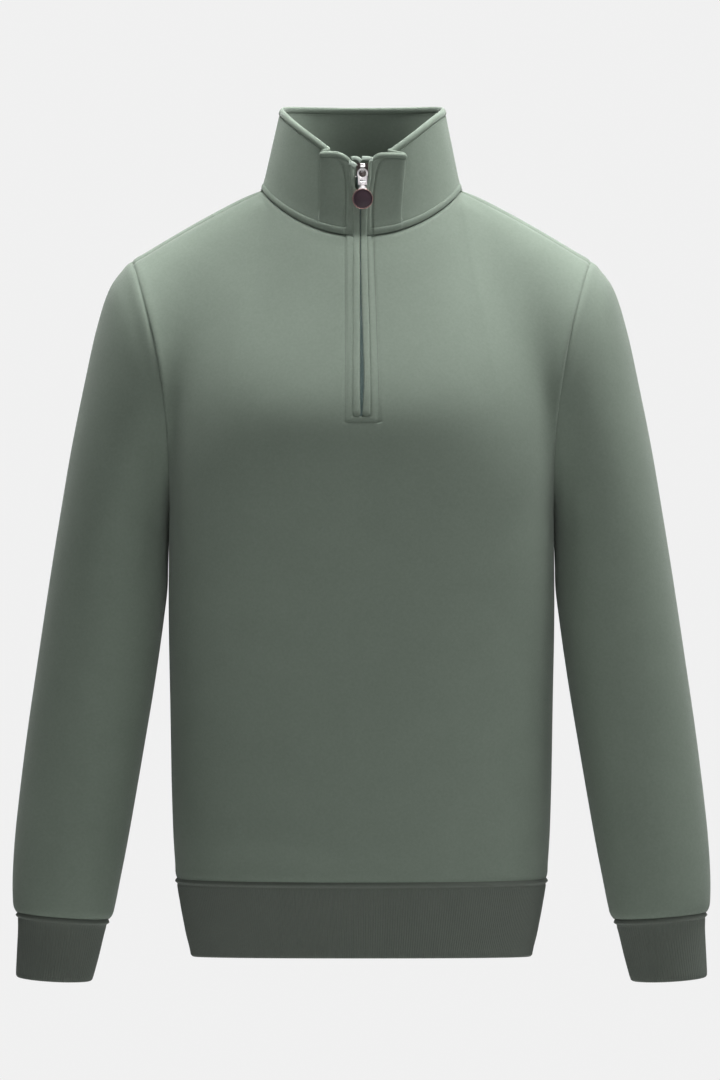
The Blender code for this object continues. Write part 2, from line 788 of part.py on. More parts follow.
def build_link(surface, place):
    """Eye on the bridge, body and the slot that the disc hangs in."""
    outline = [(LINK_WIDTH / 2.0, -LINK_END), (LINK_WIDTH / 2.0 + 0.2, -EYE_DROP - 2.5)]
    for angle in steps(0.0, 180.0, 25):
        turn = math.radians(angle)
        outline.append((EYE_OUTER * math.cos(turn), EYE_OUTER * math.sin(turn) - EYE_DROP))
    outline += [(-x, z) for x, z in reversed(outline[:2])]
    link = plate("pull_link", outline, LINK_THICKNESS)
    combine(link, primitive_rod("eye", (0.0, 0.0, -EYE_DROP), EYE_INNER, 6.0, "Y"), "DIFFERENCE")
    slot_height = SLOT_BOTTOM - SLOT_TOP
    slot = primitive_box("slot", (0.0, 0.0, -SLOT_TOP - slot_height / 2.0), (SLOT_WIDTH, 6.0, slot_height))
    combine(link, slot, "DIFFERENCE")
    return finish_hardware(link, "pull_link", surface, place)


def on_slope(place, drop):
    """A point further down the hardware's own frame."""
    tilt = math.radians(SLIDER_TILT)
    return place + Vector((0.0, -math.sin(tilt), -math.cos(tilt))) * drop


def build_disc(surface, face_surface, place):
    """Loop round the link's bar, neck and a round dish with a dark face let into it."""
    pivot = on_slope(place, BAR_DROP)
    drop = DISC_DROP - BAR_DROP
    disc = primitive_rod("pull_disc", (0.0, 0.0, -drop), DISC_RADIUS, DISC_THICKNESS, "Y", DISC_SIDES)
    neck_top = LOOP_INNER + 0.3
    neck_length = drop - DISC_RADIUS + 1.5 - neck_top
    neck = primitive_box("neck", (0.0, 0.0, -neck_top - neck_length / 2.0), (LOOP_WIDTH, 1.6, neck_length))
    combine(disc, neck, "UNION")
    combine(disc, primitive_rod("loop", (0.0, 0.0, 0.0), LOOP_OUTER, LOOP_WIDTH, "X"), "UNION")
    combine(disc, primitive_rod("bore", (0.0, 0.0, 0.0), LOOP_INNER, 12.0, "X"), "DIFFERENCE")
    dish = primitive_rod("dish", (0.0, -DISC_THICKNESS / 2.0, -drop), FACE_RADIUS, 2.0 * FACE_DEPTH, "Y",
                         DISC_SIDES)
    combine(disc, dish, "DIFFERENCE")
    finish_hardware(disc, "pull_disc", surface, pivot)
    face_y = -DISC_THICKNESS / 2.0 + FACE_DEPTH - SEAM_GAP - ENAMEL / 2.0
    face = primitive_rod("disc_face", (0.0, face_y, -drop), FACE_RADIUS - SEAM_GAP, ENAMEL, "Y", DISC_SIDES)
    finish_hardware(face, "disc_face", face_surface, pivot)


def main():
    for old in list(bpy.data.objects):
        bpy.data.objects.remove(old)
    cloth = material("sage knit", SAGE, 0.9)
    rib = material("sage rib", SAGE_RIB, 0.92)
    tape = material("zip tape", TAPE_GREEN, 0.8)
    teeth = material("zip teeth", TEETH_GREY, 0.5)
    steel = material("polished steel", STEEL, 0.25, 1.0)
    plum = material("plum enamel", PLUM, 0.4)
    build_front(cloth)
    build_back(cloth)
    build_hem(rib)
    for name, side in (("left", 1.0), ("right", -1.0)):
        build_sleeve("sleeve_" + name, side, cloth)
        build_cuff("cuff_" + name, side, rib)
    build_collar(cloth)
    build_collar_edge(cloth)
    build_neck_band(cloth)
    build_zip(cloth, tape, teeth)
    place = hinge_place()
    build_slider(steel, place)
    build_link(steel, place)
    build_disc(steel, plum, place)


main()
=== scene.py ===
"""Quarter zip sweater: finished cloth, trims and studio round the packed frame.

The front faces -Y and +X is the wearer's left. Tables are in millimetres; meshes are in metres.
"""
import json
import math

import bmesh
import bpy
import numpy as np
from bpy.props import FloatProperty, FloatVectorProperty, PointerProperty
from bpy.types import Operator, Panel, PropertyGroup
from mathutils import Matrix, Vector


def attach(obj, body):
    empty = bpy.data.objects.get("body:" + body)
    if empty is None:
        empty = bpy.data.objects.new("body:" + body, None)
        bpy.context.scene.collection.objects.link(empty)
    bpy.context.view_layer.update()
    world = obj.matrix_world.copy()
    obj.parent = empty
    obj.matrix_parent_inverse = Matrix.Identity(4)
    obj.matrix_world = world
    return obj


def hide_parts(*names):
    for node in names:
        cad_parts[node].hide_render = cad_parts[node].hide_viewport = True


bl_info = {
    "name": "Quarter Zip Sweater",
    "version": (1, 0, 0),
    "blender": (4, 5, 0),
    "location": "View3D > Sidebar > Sweater",
    "description": "Builds a quarter zip sweater, its zip and its studio",
    "category": "Object",
}

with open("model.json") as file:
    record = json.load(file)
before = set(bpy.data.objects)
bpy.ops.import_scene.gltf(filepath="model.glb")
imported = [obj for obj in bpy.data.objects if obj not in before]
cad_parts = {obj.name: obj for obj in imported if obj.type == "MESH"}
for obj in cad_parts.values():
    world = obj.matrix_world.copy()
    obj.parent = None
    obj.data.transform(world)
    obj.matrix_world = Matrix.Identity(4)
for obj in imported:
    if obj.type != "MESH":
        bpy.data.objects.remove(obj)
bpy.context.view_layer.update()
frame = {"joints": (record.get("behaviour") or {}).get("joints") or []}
GARMENT = "garment"
MM = 0.001


# ---------------------------------------------------------------- sizes shared with the frame, mm

UNDERARM_Z = -295.0
HEM_SEAM_Z = -639.0
HEM_BOTTOM_Z = -712.0
NECK_HALF_WIDTH = 92.5
NECK_FRONT = 75.0
NECK_BACK = 72.0
NECK_FRONT_DROP = 46.5
NECK_BACK_RISE = 18.0
SHOULDER_SEAM_ANGLE = 84.0
SHOULDER_TIP_ANGLE = 15.0
NECK_SHARE = 0.45
TURN_START = 0.12
TURN_WIDTH = 0.43
ARMHOLE_REACH = 4.0
CHEST_SWELL = 11.5
CHEST_LOW = 0.85
SHOULDER_CREST = 2.4
SLIT_HALF_WIDTH = 7.6
ZIP_END_Z = -214.0
SLEEVE_CLEARANCE = 0.45
SLIDER_X = 1.0
SLIDER_TILT = 7.7
HINGE_OUT = 3.9
DISC_DROP = 14.3
DISC_RADIUS = 9.5
DISC_WIDTH = 2.2
ENAMEL_RADIUS = 8.83
BORE_RADIUS = 1.75
EYE_DROP = 4.2
EYE_RADIUS = 3.5
PLATE_WIDTH = 1.4
SIDES = (("left", 1.0), ("right", -1.0))


# ---------------------------------------------------------------- sizes of the finished cloth, mm

KNIT_WALL = 1.3
RIB_WALL = 1.9
COLLAR_WALL = 1.7
TAPE_WALL = 0.6
TAPE_END_WALL = 0.5
RIB_DEPTH = 0.62
HEM_RIBS = 392
CUFF_RIBS = 94
POINTS_PER_RIB = 4
CUFF_ROW_GAP = 18.0
CORNER_REACH = 0.17
CORNER_SMOOTHING = 30.0
UNDERARM_REACH = 80.0
UNDERARM_SMOOTHING = 42.0
# How far the smoothed chest stands back from the pattern's own at the zip's foot.
ZIP_FOOT_EASE = 1.2
BORDER_FOOT_Z = ZIP_END_Z - 4.5
FRONT_LINE_Y = -60.0
COLLAR_FRONT_TOP = (0.0, -66.0, 30.0)
PULL_IN_REACH = 9.0
LIP_FOOT = 3.4
TAPE_DEPTH = 3.2
TAPE_FAR_EDGE = 12.5
TOOTH_DEPTH = 1.9
STITCH_SINK = 0.12
RING_STITCH_POINTS = 240
# Lines of stitches: distance under a rib's seam, and height over the neck seam.
RIB_SEAM_LINES = (("upper", 0.4), ("lower", 5.2))
NECK_SEAM_LINES = (("upper", 7.7), ("lower", 0.55))


# ---------------------------------------------------------------- surfaces and studio, metres

# The slider's bridge uses the bright metal darkened by this share, a shaded copy of it for where it is seen
# inside the link's eye: painted shade.
BRIDGE_SHADE_SHARE = 0.45
BRUSHING = (1800.0, 1800.0, 160.0)
RAY_START_Y = -0.4
CAMERA_PLACE = (-0.0014, -5.0, -0.325)
LENS_LENGTH = 179.2
SENSOR_WIDTH = 36.0
FLOOR_RADIUS = 6.0
FILL_TINT = (0.93, 0.97, 1.0, 1.0)


# ---------------------------------------------------------------- tables of the cut, mm


def table(columns, text):
    """Rows with named columns, from lines of numbers."""
    names = columns.split()
    return [dict(zip(names, map(float, line.split()))) for line in text.strip().splitlines()]


TORSO = table("z half_width front back side_y squareness rise", """
    -712 158.5 98 92 4 2.3 5
    -690 163.5 102 95 4 2.3 4
    -660 169 108 99 4 2.3 3
    -639 172.3 112 102 4 2.3 2
    -600 175 117 104 4 2.3 0
    -550 176.6 119 105 3 2.3 0
    -475 177.8 124 106 1 2.35 0
    -400 179 130 112 -1 2.6 0
    -340 178.6 137 119 -4 2.85 0
    -295 177.7 140 123 -6 3 0
""")

SLEEVE = table("outer_x outer_z inner_x inner_z mid_y half_depth bow_front bow_back", """
    213.4 -66 177.7 -295 -6 82 12 7
    232.5 -90 178.3 -300 -6 82 8.5 5
    245.5 -129 178.9 -306 -6 81 5 3
    257.2 -182 179.4 -314 -6 79 2 1
    269 -241 180 -325 -6 76 0 0
    280 -306 180.9 -352 -6 72 0 0
    289 -362 181.6 -385 -6 68 0 0
    300.2 -437 190.8 -453 -7 63 0 0
    310.8 -511 203.2 -528 -9 57 0 0
    319.4 -585 215.2 -598 -14 52 0 0
    322.4 -627 222.8 -638 -18 48 0 0
    322.6 -655 228 -664 -20 45 0 0
    320.4 -668.6 231.8 -675.6 -21 41 0 0
""")

CUFF = table("outer_x outer_z inner_x inner_z mid_y half_depth bow_front bow_back", """
    318.6 -669.2 233.6 -676.4 -21 39 0 0
    317.4 -682 237.2 -687 -22 36 0 0
    318.4 -706 243 -711 -23 35 0 0
    319.4 -728.5 249 -733 -24 35.5 0 0
""")

# The collar's crest from the zip to centre back. The front panel folds back under the side panel's
# edge, so the rows run out, back towards the zip and out again.
COLLAR_LEFT = table("x y z base_angle", """
    7.3 -66 22 4.9
    9.6 -66 26.1 6.4
    13.8 -66 29.5 9
    18.8 -66 30.9 11.8
    29.8 -66 30.9 17
    38.6 -65.8 30.4 20.8
    41.3 -64 30 22.4
    38 -61.8 31.2 23.2
    29.5 -60.2 33 24
    26.4 -58.6 34.6 24.8
    28.5 -56.8 36.4 26
    36 -54 42 30
    46.5 -48.5 50 37
    59.5 -37 60.8 47.5
    70.4 -20 70.2 60
    75.6 -3 75.2 74
    77 16 78.6 92
    72.4 43 81.4 114
    57 61 82.4 135
    30 67.5 82.4 157
    0 69 82.4 180
""")
COLLAR_RIGHT = table("x y z base_angle", """
    5.2 -66 17.9 4.9
    7.8 -66 21.5 6
    10.7 -66 25.2 7.8
    15.6 -66 29.3 10.5
    22.5 -66 31.9 14.5
    31 -65.8 32.3 20
    37.5 -64.4 32 24.5
    36.8 -62 33.2 25.4
    32 -60 34.8 26.2
    31.4 -58 37.2 27.4
    38 -55 42.6 31.5
    49 -48 51.2 39
    60.2 -36 60.4 49
    68.8 -20 68.8 61
    73.4 -2 74.6 74
    75 16 78.4 92
    71 43 81.4 114
    57 61 82.4 135
    30 67.5 82.4 157
    0 69 82.4 180
""")


def smooth_between(before, low, high, after, share):
    """Cubic through low and high, with slopes set by the values on either side."""
    return hermite(low, high, (high - before) / 2.0, (after - low) / 2.0, share)


def read_row(rows, place):
    """All columns at a fractional row number, smoothly between the rows."""
    last = len(rows) - 1
    low = min(max(int(math.floor(place)), 0), last - 1)
    share = place - low
    before = rows[max(low - 1, 0)]
    after = rows[min(low + 2, last)]
    return {key: smooth_between(before[key], rows[low][key], rows[low + 1][key], after[key], share)
            for key in rows[low]}


def row_place(rows, key, value):
    """The fractional row number at which a rising column reaches a value."""
    for low in range(len(rows) - 1):
        start = rows[low][key]
        end = rows[low + 1][key]
        if value <= end or low == len(rows) - 2:
            return low + (value - start) / (end - start)
    return 0.0


def power_of(value, power):
    """A signed power, for superellipses."""
    return math.copysign(abs(value) ** power, value)


def hermite(start, end, start_pull, end_pull, t):
    """Point of a cubic between two points, leaving and arriving along the given pulls."""
    t2 = t * t
    t3 = t2 * t
    return ((2 * t3 - 3 * t2 + 1) * start + (t3 - 2 * t2 + t) * start_pull
            + (3 * t2 - 2 * t3) * end + (t3 - t2) * end_pull)


def ease(value):
    """Smooth 0 to 1 step, for numbers and arrays."""
    value = np.clip(value, 0.0, 1.0)
    return value * value * (3.0 - 2.0 * value)


def steps(start, end, count):
    """Evenly spaced values, both ends included."""
    return [start + (end - start) * i / (count - 1) for i in range(count)]


# ---------------------------------------------------------------- shapes of the cloth, mm

def torso_point(z, angle):
    """Outer face of the body: angle 0 is centre front, 90 the +X side, 180 centre back."""
    row = read_row(TORSO, row_place(TORSO, "z", z))
    power = 2.0 / row["squareness"]
    turn = math.radians(angle)
    facing = math.cos(turn)
    depth = row["front"] if facing > 0.0 else row["back"]
    return Vector((row["half_width"] * power_of(math.sin(turn), power),
                   row["side_y"] - depth * power_of(facing, power),
                   z + row["rise"] * max(facing, 0.0)))


def neck_point(angle):
    """The neck seam: angle 0 is centre front, 90 the +X side, 180 centre back."""
    turn = math.radians(angle)
    facing = math.cos(turn)
    depth, rise = (NECK_FRONT, -NECK_FRONT_DROP) if facing > 0.0 else (NECK_BACK, NECK_BACK_RISE)
    return Vector((NECK_HALF_WIDTH * math.sin(turn), -depth * facing, rise * abs(facing) ** 1.6))


def ring_point(row, angle):
    """A ring of the +X sleeve: angle 0 is its outer end, 90 the front, 180 the inner end."""
    turn = math.radians(angle)
    along = (1.0 + math.cos(turn)) / 2.0
    front = math.sin(turn)
    bow = row["bow_front"] if front > 0.0 else row["bow_back"]
    return Vector((row["inner_x"] + (row["outer_x"] - row["inner_x"]) * along - bow * front * front,
                   row["mid_y"] - row["half_depth"] * front,
                   row["inner_z"] + (row["outer_z"] - row["inner_z"]) * along))


def slit_angle(z):
    """Angle at which the body's front is half the slit's width from the centre."""
    row = read_row(TORSO, row_place(TORSO, "z", z))
    share = (SLIT_HALF_WIDTH / row["half_width"]) ** (row["squareness"] / 2.0)
    return math.degrees(math.asin(share))


def column_angle(z, across, back):
    """Body angle of a panel's column: across 0 is the centre column, 1 the side seam."""
    if back:
        return 180.0 - 90.0 * across
    start = slit_angle(z)
    return start + (90.0 - start) * across


def top_edge(across, back):
    """A panel's upper edge: the neck seam, then the shoulder seam to the armhole."""
    neck_slit = math.degrees(math.asin(SLIT_HALF_WIDTH / NECK_HALF_WIDTH))
    if across <= NECK_SHARE:
        start = 180.0 if back else neck_slit
        return neck_point(start + (SHOULDER_SEAM_ANGLE - start) * across / NECK_SHARE)
    share = (across - NECK_SHARE) / (1.0 - NECK_SHARE)
    neck = neck_point(SHOULDER_SEAM_ANGLE)
    tip = ring_point(SLEEVE[0], SHOULDER_TIP_ANGLE)
    return neck.lerp(tip, share) + Vector((0.0, 0.0, SHOULDER_CREST * math.sin(math.pi * share)))


def upper_column(across, t, back):
    """A column from the underarm level to the top edge, before the armhole is fitted."""
    low = torso_point(UNDERARM_Z, column_angle(UNDERARM_Z, across, back))
    high = top_edge(across, back)
    length = (high - low).length
    neck_way = Vector((0.0, -0.5, 0.85) if back else (0.0, 0.75, 0.65))
    shoulder_way = Vector((0.0, -0.62, -0.36) if back else (0.0, 0.72, 0.40))
    arrive = neck_way.lerp(shoulder_way, float(ease((across - TURN_START) / TURN_WIDTH)))
    lift = 1.0 if back else 0.95
    point = hermite(low, high, Vector((0.0, 0.0, lift * length)), arrive * length * 0.9, t)
    if not back:
        point.y -= CHEST_SWELL * math.sin(2.0 * math.pi * t ** CHEST_LOW) * (1.0 - across ** 3)
    return point


def upper_point(across, t, back):
    """A panel above the underarm, its side edge fitted to the armhole seam."""
    start = -180.0 if back else 180.0
    seam = ring_point(SLEEVE[0], start + (SHOULDER_TIP_ANGLE - start) * t)
    fit = seam - upper_column(1.0, t, back)
    return upper_column(across, t, back) + fit * across ** ARMHOLE_REACH


def panel_point(across, level, back):
    """A panel by level: below 0 is mm under the underarm, 0 to 1 is underarm to top edge."""
    if level < 0.0:
        z = UNDERARM_Z + level
        return torso_point(z, column_angle(z, across, back))
    return upper_point(across, level, back)


def collar_point(share, up, side):
    """The collar's outer face, from the neck seam (up 0) to its crest (up 1)."""
    rows = COLLAR_LEFT if side > 0.0 else COLLAR_RIGHT
    row = read_row(rows, share * (len(rows) - 1))
    top = Vector((side * row["x"], row["y"], row["z"]))
    base = neck_point(row["base_angle"])
    base.x *= side
    return base.lerp(top, up)


def level_at(z, rounds):
    """Level at which the front's centre column reaches a height."""
    low, high = 0.0, 1.0
    for _ in range(rounds):
        middle = (low + high) / 2.0
        if upper_point(0.0, middle, False).z < z:
            low = middle
        else:
            high = middle
    return low


def front_face(z):
    """Front of the sweater on its centre line at a height: (y, way out of the cloth)."""
    if z > -NECK_FRONT_DROP:
        base = neck_point(0.0)
        top = Vector(COLLAR_FRONT_TOP)
        way = top - base
        point = base.lerp(top, (z - base.z) / way.z)
    else:
        level = level_at(z, 24)
        point = upper_point(0.0, level, False)
        above = upper_point(0.0, min(level + 0.01, 1.0), False)
        way = above - upper_point(0.0, max(level - 0.01, 0.0), False)
    eased = ZIP_FOOT_EASE * math.exp(-((z - ZIP_END_Z + 5.0) / 18.0) ** 2)
    return point.y + eased, Vector((0.0, -way.z, way.y)).normalized()


# ---------------------------------------------------------------- cloth meshes

def as_array(rows):
    return np.array([[tuple(point) for point in row] for row in rows])


def face_ways(points, ring):
    """Unit ways out of a grid of points: rows run upwards, columns anticlockwise seen from above."""
    if ring:
        across = np.roll(points, -1, axis=1) - np.roll(points, 1, axis=1)
    else:
        across = np.gradient(points, axis=1)
    up = np.gradient(points, axis=0)
    ways = np.cross(across, up)
    length = np.linalg.norm(ways, axis=2, keepdims=True)
    return ways / np.maximum(length, 1e-9)


def run_across(points, ring):
    """Distance along each row from its first column."""
    gaps = np.linalg.norm(np.diff(points, axis=1), axis=2)
    if ring:
        last = np.linalg.norm(points[:, :1] - points[:, -1:], axis=2)
        gaps = np.concatenate([gaps, last], axis=1)
    return np.concatenate([np.zeros((len(points), 1)), np.cumsum(gaps, axis=1)], axis=1)


def run_up(points):
    """Distance up each column from its first row."""
    gaps = np.linalg.norm(np.diff(points, axis=0), axis=2)
    return np.concatenate([np.zeros((1, points.shape[1])), np.cumsum(gaps, axis=0)], axis=0)


def seam_dip(distance, depth=1.1, width=1.8, puff=0.35):
    """Cloth drawn down into a seam, with the slight fullness beside it."""
    return (-depth * np.exp(-(distance / width) ** 2)
            + puff * np.exp(-((distance - 6.5) / 4.0) ** 2))


def open_to_sight(points, ways):
    """1 where cloth faces the front, the back or up, 0 where body and sleeve lie against each other."""
    faces_out = ease((np.maximum(np.abs(ways[:, :, 1]), ways[:, :, 2]) - 0.25) / 0.5)
    return faces_out * ease((points[:, :, 2] + 215.0) / 55.0)


def groove(distance, depth=1.0, width=0.85):
    """A sewn line pressed into the cloth."""
    return -depth * np.exp(-(distance / width) ** 2)


def soft_folds(points, ways, back):
    """Troughs and ridges laid by hand across the front or back, each between two ends."""
    relief = np.zeros(points.shape[:2])
    side = ways[:, :, 1] if back else -ways[:, :, 1]
    facing = ease((side + 0.1) / 0.5)
    for row in BACK_FOLDS if back else FRONT_FOLDS:
        start = np.array((row["x1"], row["z1"]))
        way = np.array((row["x2"], row["z2"])) - start
        length = float(np.linalg.norm(way))
        way = way / length
        flat = points[:, :, [0, 2]] - start
        along = (flat @ way) / length
        off = flat @ np.array((-way[1], way[0]))
        inside = np.clip(along, 0.0, 1.0)
        beyond = np.abs(along - inside) * length
        off = off - row["bow"] * np.sin(math.pi * inside)
        shape = np.exp(-(off / row["width"]) ** 2) * np.exp(-(beyond / row["width"]) ** 2)
        relief += row["depth"] * shape * (0.25 + 0.75 * np.sin(math.pi * inside)) * facing
    return relief


def mesh_object(name, verts, faces, uvs=None):
    """A linked object from points in millimetres; uvs holds a (u, v) in metres for each corner."""
    mesh = bpy.data.meshes.new(name)
    mesh.from_pydata([tuple(point) for point in np.asarray(verts) * MM], [], faces)
    if uvs is not None:
        layer = mesh.uv_layers.new(name="cloth")
        layer.data.foreach_set("uv", np.asarray(uvs, dtype=np.float32).ravel())
    mesh.shade_smooth()
    made = bpy.data.objects.new(name, mesh)
    bpy.context.scene.collection.objects.link(made)
    return made


def cloth_wall(name, points, wall, ring=False, leave_out=None, centre=0):
    """A cloth wall inside a grid of points, closed all round, its lowest and highest edges rounded."""
    ways = face_ways(points, ring)
    across = run_across(points, ring)
    if not ring:
        across = across - across[:, [centre]]
    height = run_up(points).mean(axis=1)
    rims = []
    for row, out, way in ((0, -0.32, points[1] - points[0]), (-1, 0.32, points[-1] - points[-2])):
        way = way / np.maximum(np.linalg.norm(way, axis=1, keepdims=True), 1e-9)
        rims.append(points[row] + way * out * wall - ways[row] * 0.5 * wall)
    inner = points - ways * wall
    layers = np.concatenate([points, rims[1][None], inner[::-1], rims[0][None]])
    heights = np.concatenate([height, [height[-1]], height[::-1], [height[0]]])
    acrosses = np.concatenate([across, across[-1:], across[::-1], across[:1]])
    total, columns = layers.shape[:2]
    rows = len(points)
    faces = []
    uvs = []
    sources = list(range(rows)) + [rows - 1] + list(range(rows - 1, -1, -1)) + [0]
    for r in range(total):
        nr = (r + 1) % total
        for c in range(columns if ring else columns - 1):
            if leave_out and leave_out(sources[r], c):
                continue
            nc = (c + 1) % columns
            faces.append((r * columns + c, r * columns + nc, nr * columns + nc, nr * columns + c))
            uvs += [(acrosses[i][j] * MM, heights[i] * MM)
                    for i, j in ((r, c), (r, c + 1), (nr, c + 1), (nr, c))]
    made = mesh_object(name, layers.reshape(-1, 3), faces, uvs)
    if not ring:
        close_sides(made, layers, rows)
    return made


def close_sides(made, layers, rows):
    """Join a wall's outer and inner faces where its side edges and slit are open."""
    shape = bmesh.new()
    shape.from_mesh(made.data)
    shape.verts.ensure_lookup_table()
    columns = layers.shape[1]
    layer = shape.loops.layers.uv.active
    partner = {r * columns + c: (2 * rows - r) * columns + c for r in range(rows) for c in range(columns)}
    new = []
    for edge in shape.edges:
        if len(edge.link_loops) != 1:
            continue
        loop = edge.link_loops[0]
        after = loop.link_loop_next
        start, end = loop.vert.index, after.vert.index
        if start in partner and end in partner:
            new.append(((end, start, partner[start], partner[end]),
                        loop[layer].uv.copy(), after[layer].uv.copy()))
    for indices, uv_start, uv_end in new:
        corners = [shape.verts[i] for i in indices]
        if len(set(corners)) == 4:
            face = shape.faces.new(corners)
            face.smooth = True
            for loop, uv in zip(face.loops, (uv_end, uv_start, uv_start, uv_end)):
                loop[layer].uv = uv
    holes = [edge for edge in shape.edges if len(edge.link_loops) == 1]
    bmesh.ops.holes_fill(shape, edges=holes, sides=8)
    loose = [vert for vert in shape.verts if not vert.link_faces]
    bmesh.ops.delete(shape, geom=loose, context="VERTS")
    shape.to_mesh(made.data)
    shape.free()


def finish_piece(made, surface_name, nodes=(), body=GARMENT):
    """Give a piece its surface, its frame body and the frame nodes it stands for."""
    made.data.materials.clear()
    made.data.materials.append(surface(surface_name))
    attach(made, body)
    if nodes:
        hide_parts(*nodes)
    return made


# ---------------------------------------------------------------- surfaces

def node(tree, kind, inputs=None, **settings):
    """Add a shader node, with its settings and its inputs' values or links."""
    made = tree.nodes.new(kind)
    for key, value in settings.items():
        setattr(made, key, value)
    feed(tree, made, inputs or {})
    return made


def feed(tree, target, inputs):
    """Give a node's inputs their values or links."""
    for key, value in inputs.items():
        if isinstance(value, bpy.types.NodeSocket):
            tree.links.new(value, target.inputs[key])
        else:
            target.inputs[key].default_value = value


def maths(tree, operation, a, b=0.0, c=0.0):
    """Output of a math node."""
    return node(tree, "ShaderNodeMath", {0: a, 1: b, 2: c}, operation=operation).outputs[0]


def blend_colour(tree, share, low, high):
    """Output of a colour mix."""
    return node(tree, "ShaderNodeMix", {0: share, 6: low, 7: high}, data_type="RGBA").outputs[2]


def object_place(tree):
    """Object coordinates, from the one node of a tree that gives them."""
    found = tree.nodes.get("place") or node(tree, "ShaderNodeTexCoord", name="place")
    return found.outputs["Object"]


def noise(tree, scale, detail, roughness=0.5, place=None):
    """Output of a noise texture, over object coordinates unless a place is given."""
    place = object_place(tree) if place is None else place
    return node(tree, "ShaderNodeTexNoise",
                {"Vector": place, "Scale": scale, "Detail": detail, "Roughness": roughness}).outputs[0]


def tinted(colour, share=1.0):
    """A colour with its alpha, lightened or darkened by a share."""
    return (*(part * share for part in colour), 1.0)


def effect(name, inputs):
    """A new node group that gives colour, roughness and height; inputs are (name, type, default)."""
    group = bpy.data.node_groups.new(name, "ShaderNodeTree")
    for label, kind, default in inputs:
        socket = group.interface.new_socket(label, in_out="INPUT", socket_type="NodeSocket" + kind)
        socket.default_value = default
    for label, kind in (("Colour", "Color"), ("Roughness", "Float"), ("Height", "Float")):
        group.interface.new_socket(label, in_out="OUTPUT", socket_type="NodeSocket" + kind)
    return group, group.nodes.new("NodeGroupInput").outputs, group.nodes.new("NodeGroupOutput")


def knit_loops():
    """Fine jersey: rows of small V loops along the cloth's own map, a soft nap and a mottle."""
    found = bpy.data.node_groups.get("knit_loops")
    if found:
        return found
    group, given, put = effect("knit_loops", [
        ("Cloth", "Color", (0.2, 0.27, 0.22, 1.0)), ("Shade", "Color", (0.13, 0.18, 0.145, 1.0)),
        ("Wale", "Float", 0.0011), ("Course", "Float", 0.0009), ("Mottle", "Float", 0.5)])

    def op(kind, *values):
        return maths(group, kind, *values)

    uv = node(group, "ShaderNodeUVMap", uv_map="cloth").outputs[0]
    split = node(group, "ShaderNodeSeparateXYZ", {0: uv}).outputs
    column = op("DIVIDE", split[0], given["Wale"])
    course = op("DIVIDE", split[1], given["Course"])
    side = op("ABSOLUTE", op("SUBTRACT", op("FRACT", column), 0.5))
    slanted = op("SUBTRACT", course, op("MULTIPLY", side, 1.4))
    loop = op("MULTIPLY_ADD", op("SINE", op("MULTIPLY", slanted, 2 * math.pi)), 0.3, 0.4)
    arm = op("SINE", op("MULTIPLY", op("FRACT", op("MULTIPLY", column, 2.0)), math.pi))
    stitch = op("MULTIPLY", arm, loop)
    nap = noise(group, 1500.0, 3.0, 0.65)
    grain = noise(group, 420.0, 4.0, 0.6)
    cloud = noise(group, 26.0, 3.0, 0.55)
    # Painted shade: where the stitch is low, between the raised loops, the colour goes towards the darker
    # Shade colour. The grain and cloud mottle added on top is the yarn's own tone.
    shade = op("MULTIPLY_ADD", stitch, -0.55, 0.5)
    for speck, share in ((grain, given["Mottle"]), (cloud, 0.35)):
        shade = op("ADD", shade, op("MULTIPLY", op("SUBTRACT", speck, 0.5), share))
    shade = node(group, "ShaderNodeClamp", {0: shade}).outputs[0]
    feed(group, put, {"Colour": blend_colour(group, shade, given["Cloth"], given["Shade"]),
                      "Roughness": op("MULTIPLY_ADD", nap, 0.14, 0.8),
                      "Height": op("ADD", op("MULTIPLY", stitch, 0.65), op("MULTIPLY", nap, 0.5))})
    return group


def new_surface(name):
    """A material, its node tree and its shader."""
    made = bpy.data.materials.new(name)
    made.use_nodes = True
    return made, made.node_tree, made.node_tree.nodes["Principled BSDF"]


def bump_from(tree, height, distance):
    """Output of a bump node."""
    return node(tree, "ShaderNodeBump", {"Height": height, "Distance": distance, "Strength": 1.0}).outputs[0]


def effect_surface(name, group, values, bump):
    """A surface whose colour, roughness and relief come from an effect's group."""
    made, tree, shader = new_surface(name)
    given = node(tree, "ShaderNodeGroup", node_tree=group)
    feed(tree, given, values)
    given = given.outputs
    feed(tree, shader, {"Base Color": given["Colour"], "Roughness": given["Roughness"],
                        "Normal": bump_from(tree, given["Height"], bump)})
    return made, tree, shader


def make_cloth(name, cloth, shade, wale=0.0011, course=0.0009, mottle=0.85, bump=0.00012):
    """A knit surface with its own loop size and colours."""
    # The Shade colour is painted shade between the loops, and also the darker tone of the mottle.
    made, tree, shader = effect_surface(name, knit_loops(), {
        "Cloth": tinted(cloth), "Shade": tinted(shade),
        "Wale": wale, "Course": course, "Mottle": mottle}, bump)
    feed(tree, shader, {"Sheen Weight": 0.25, "Sheen Roughness": 0.45, "Sheen Tint": (0.86, 0.92, 0.86, 1.0),
                        "Specular IOR Level": 0.25})
    return made


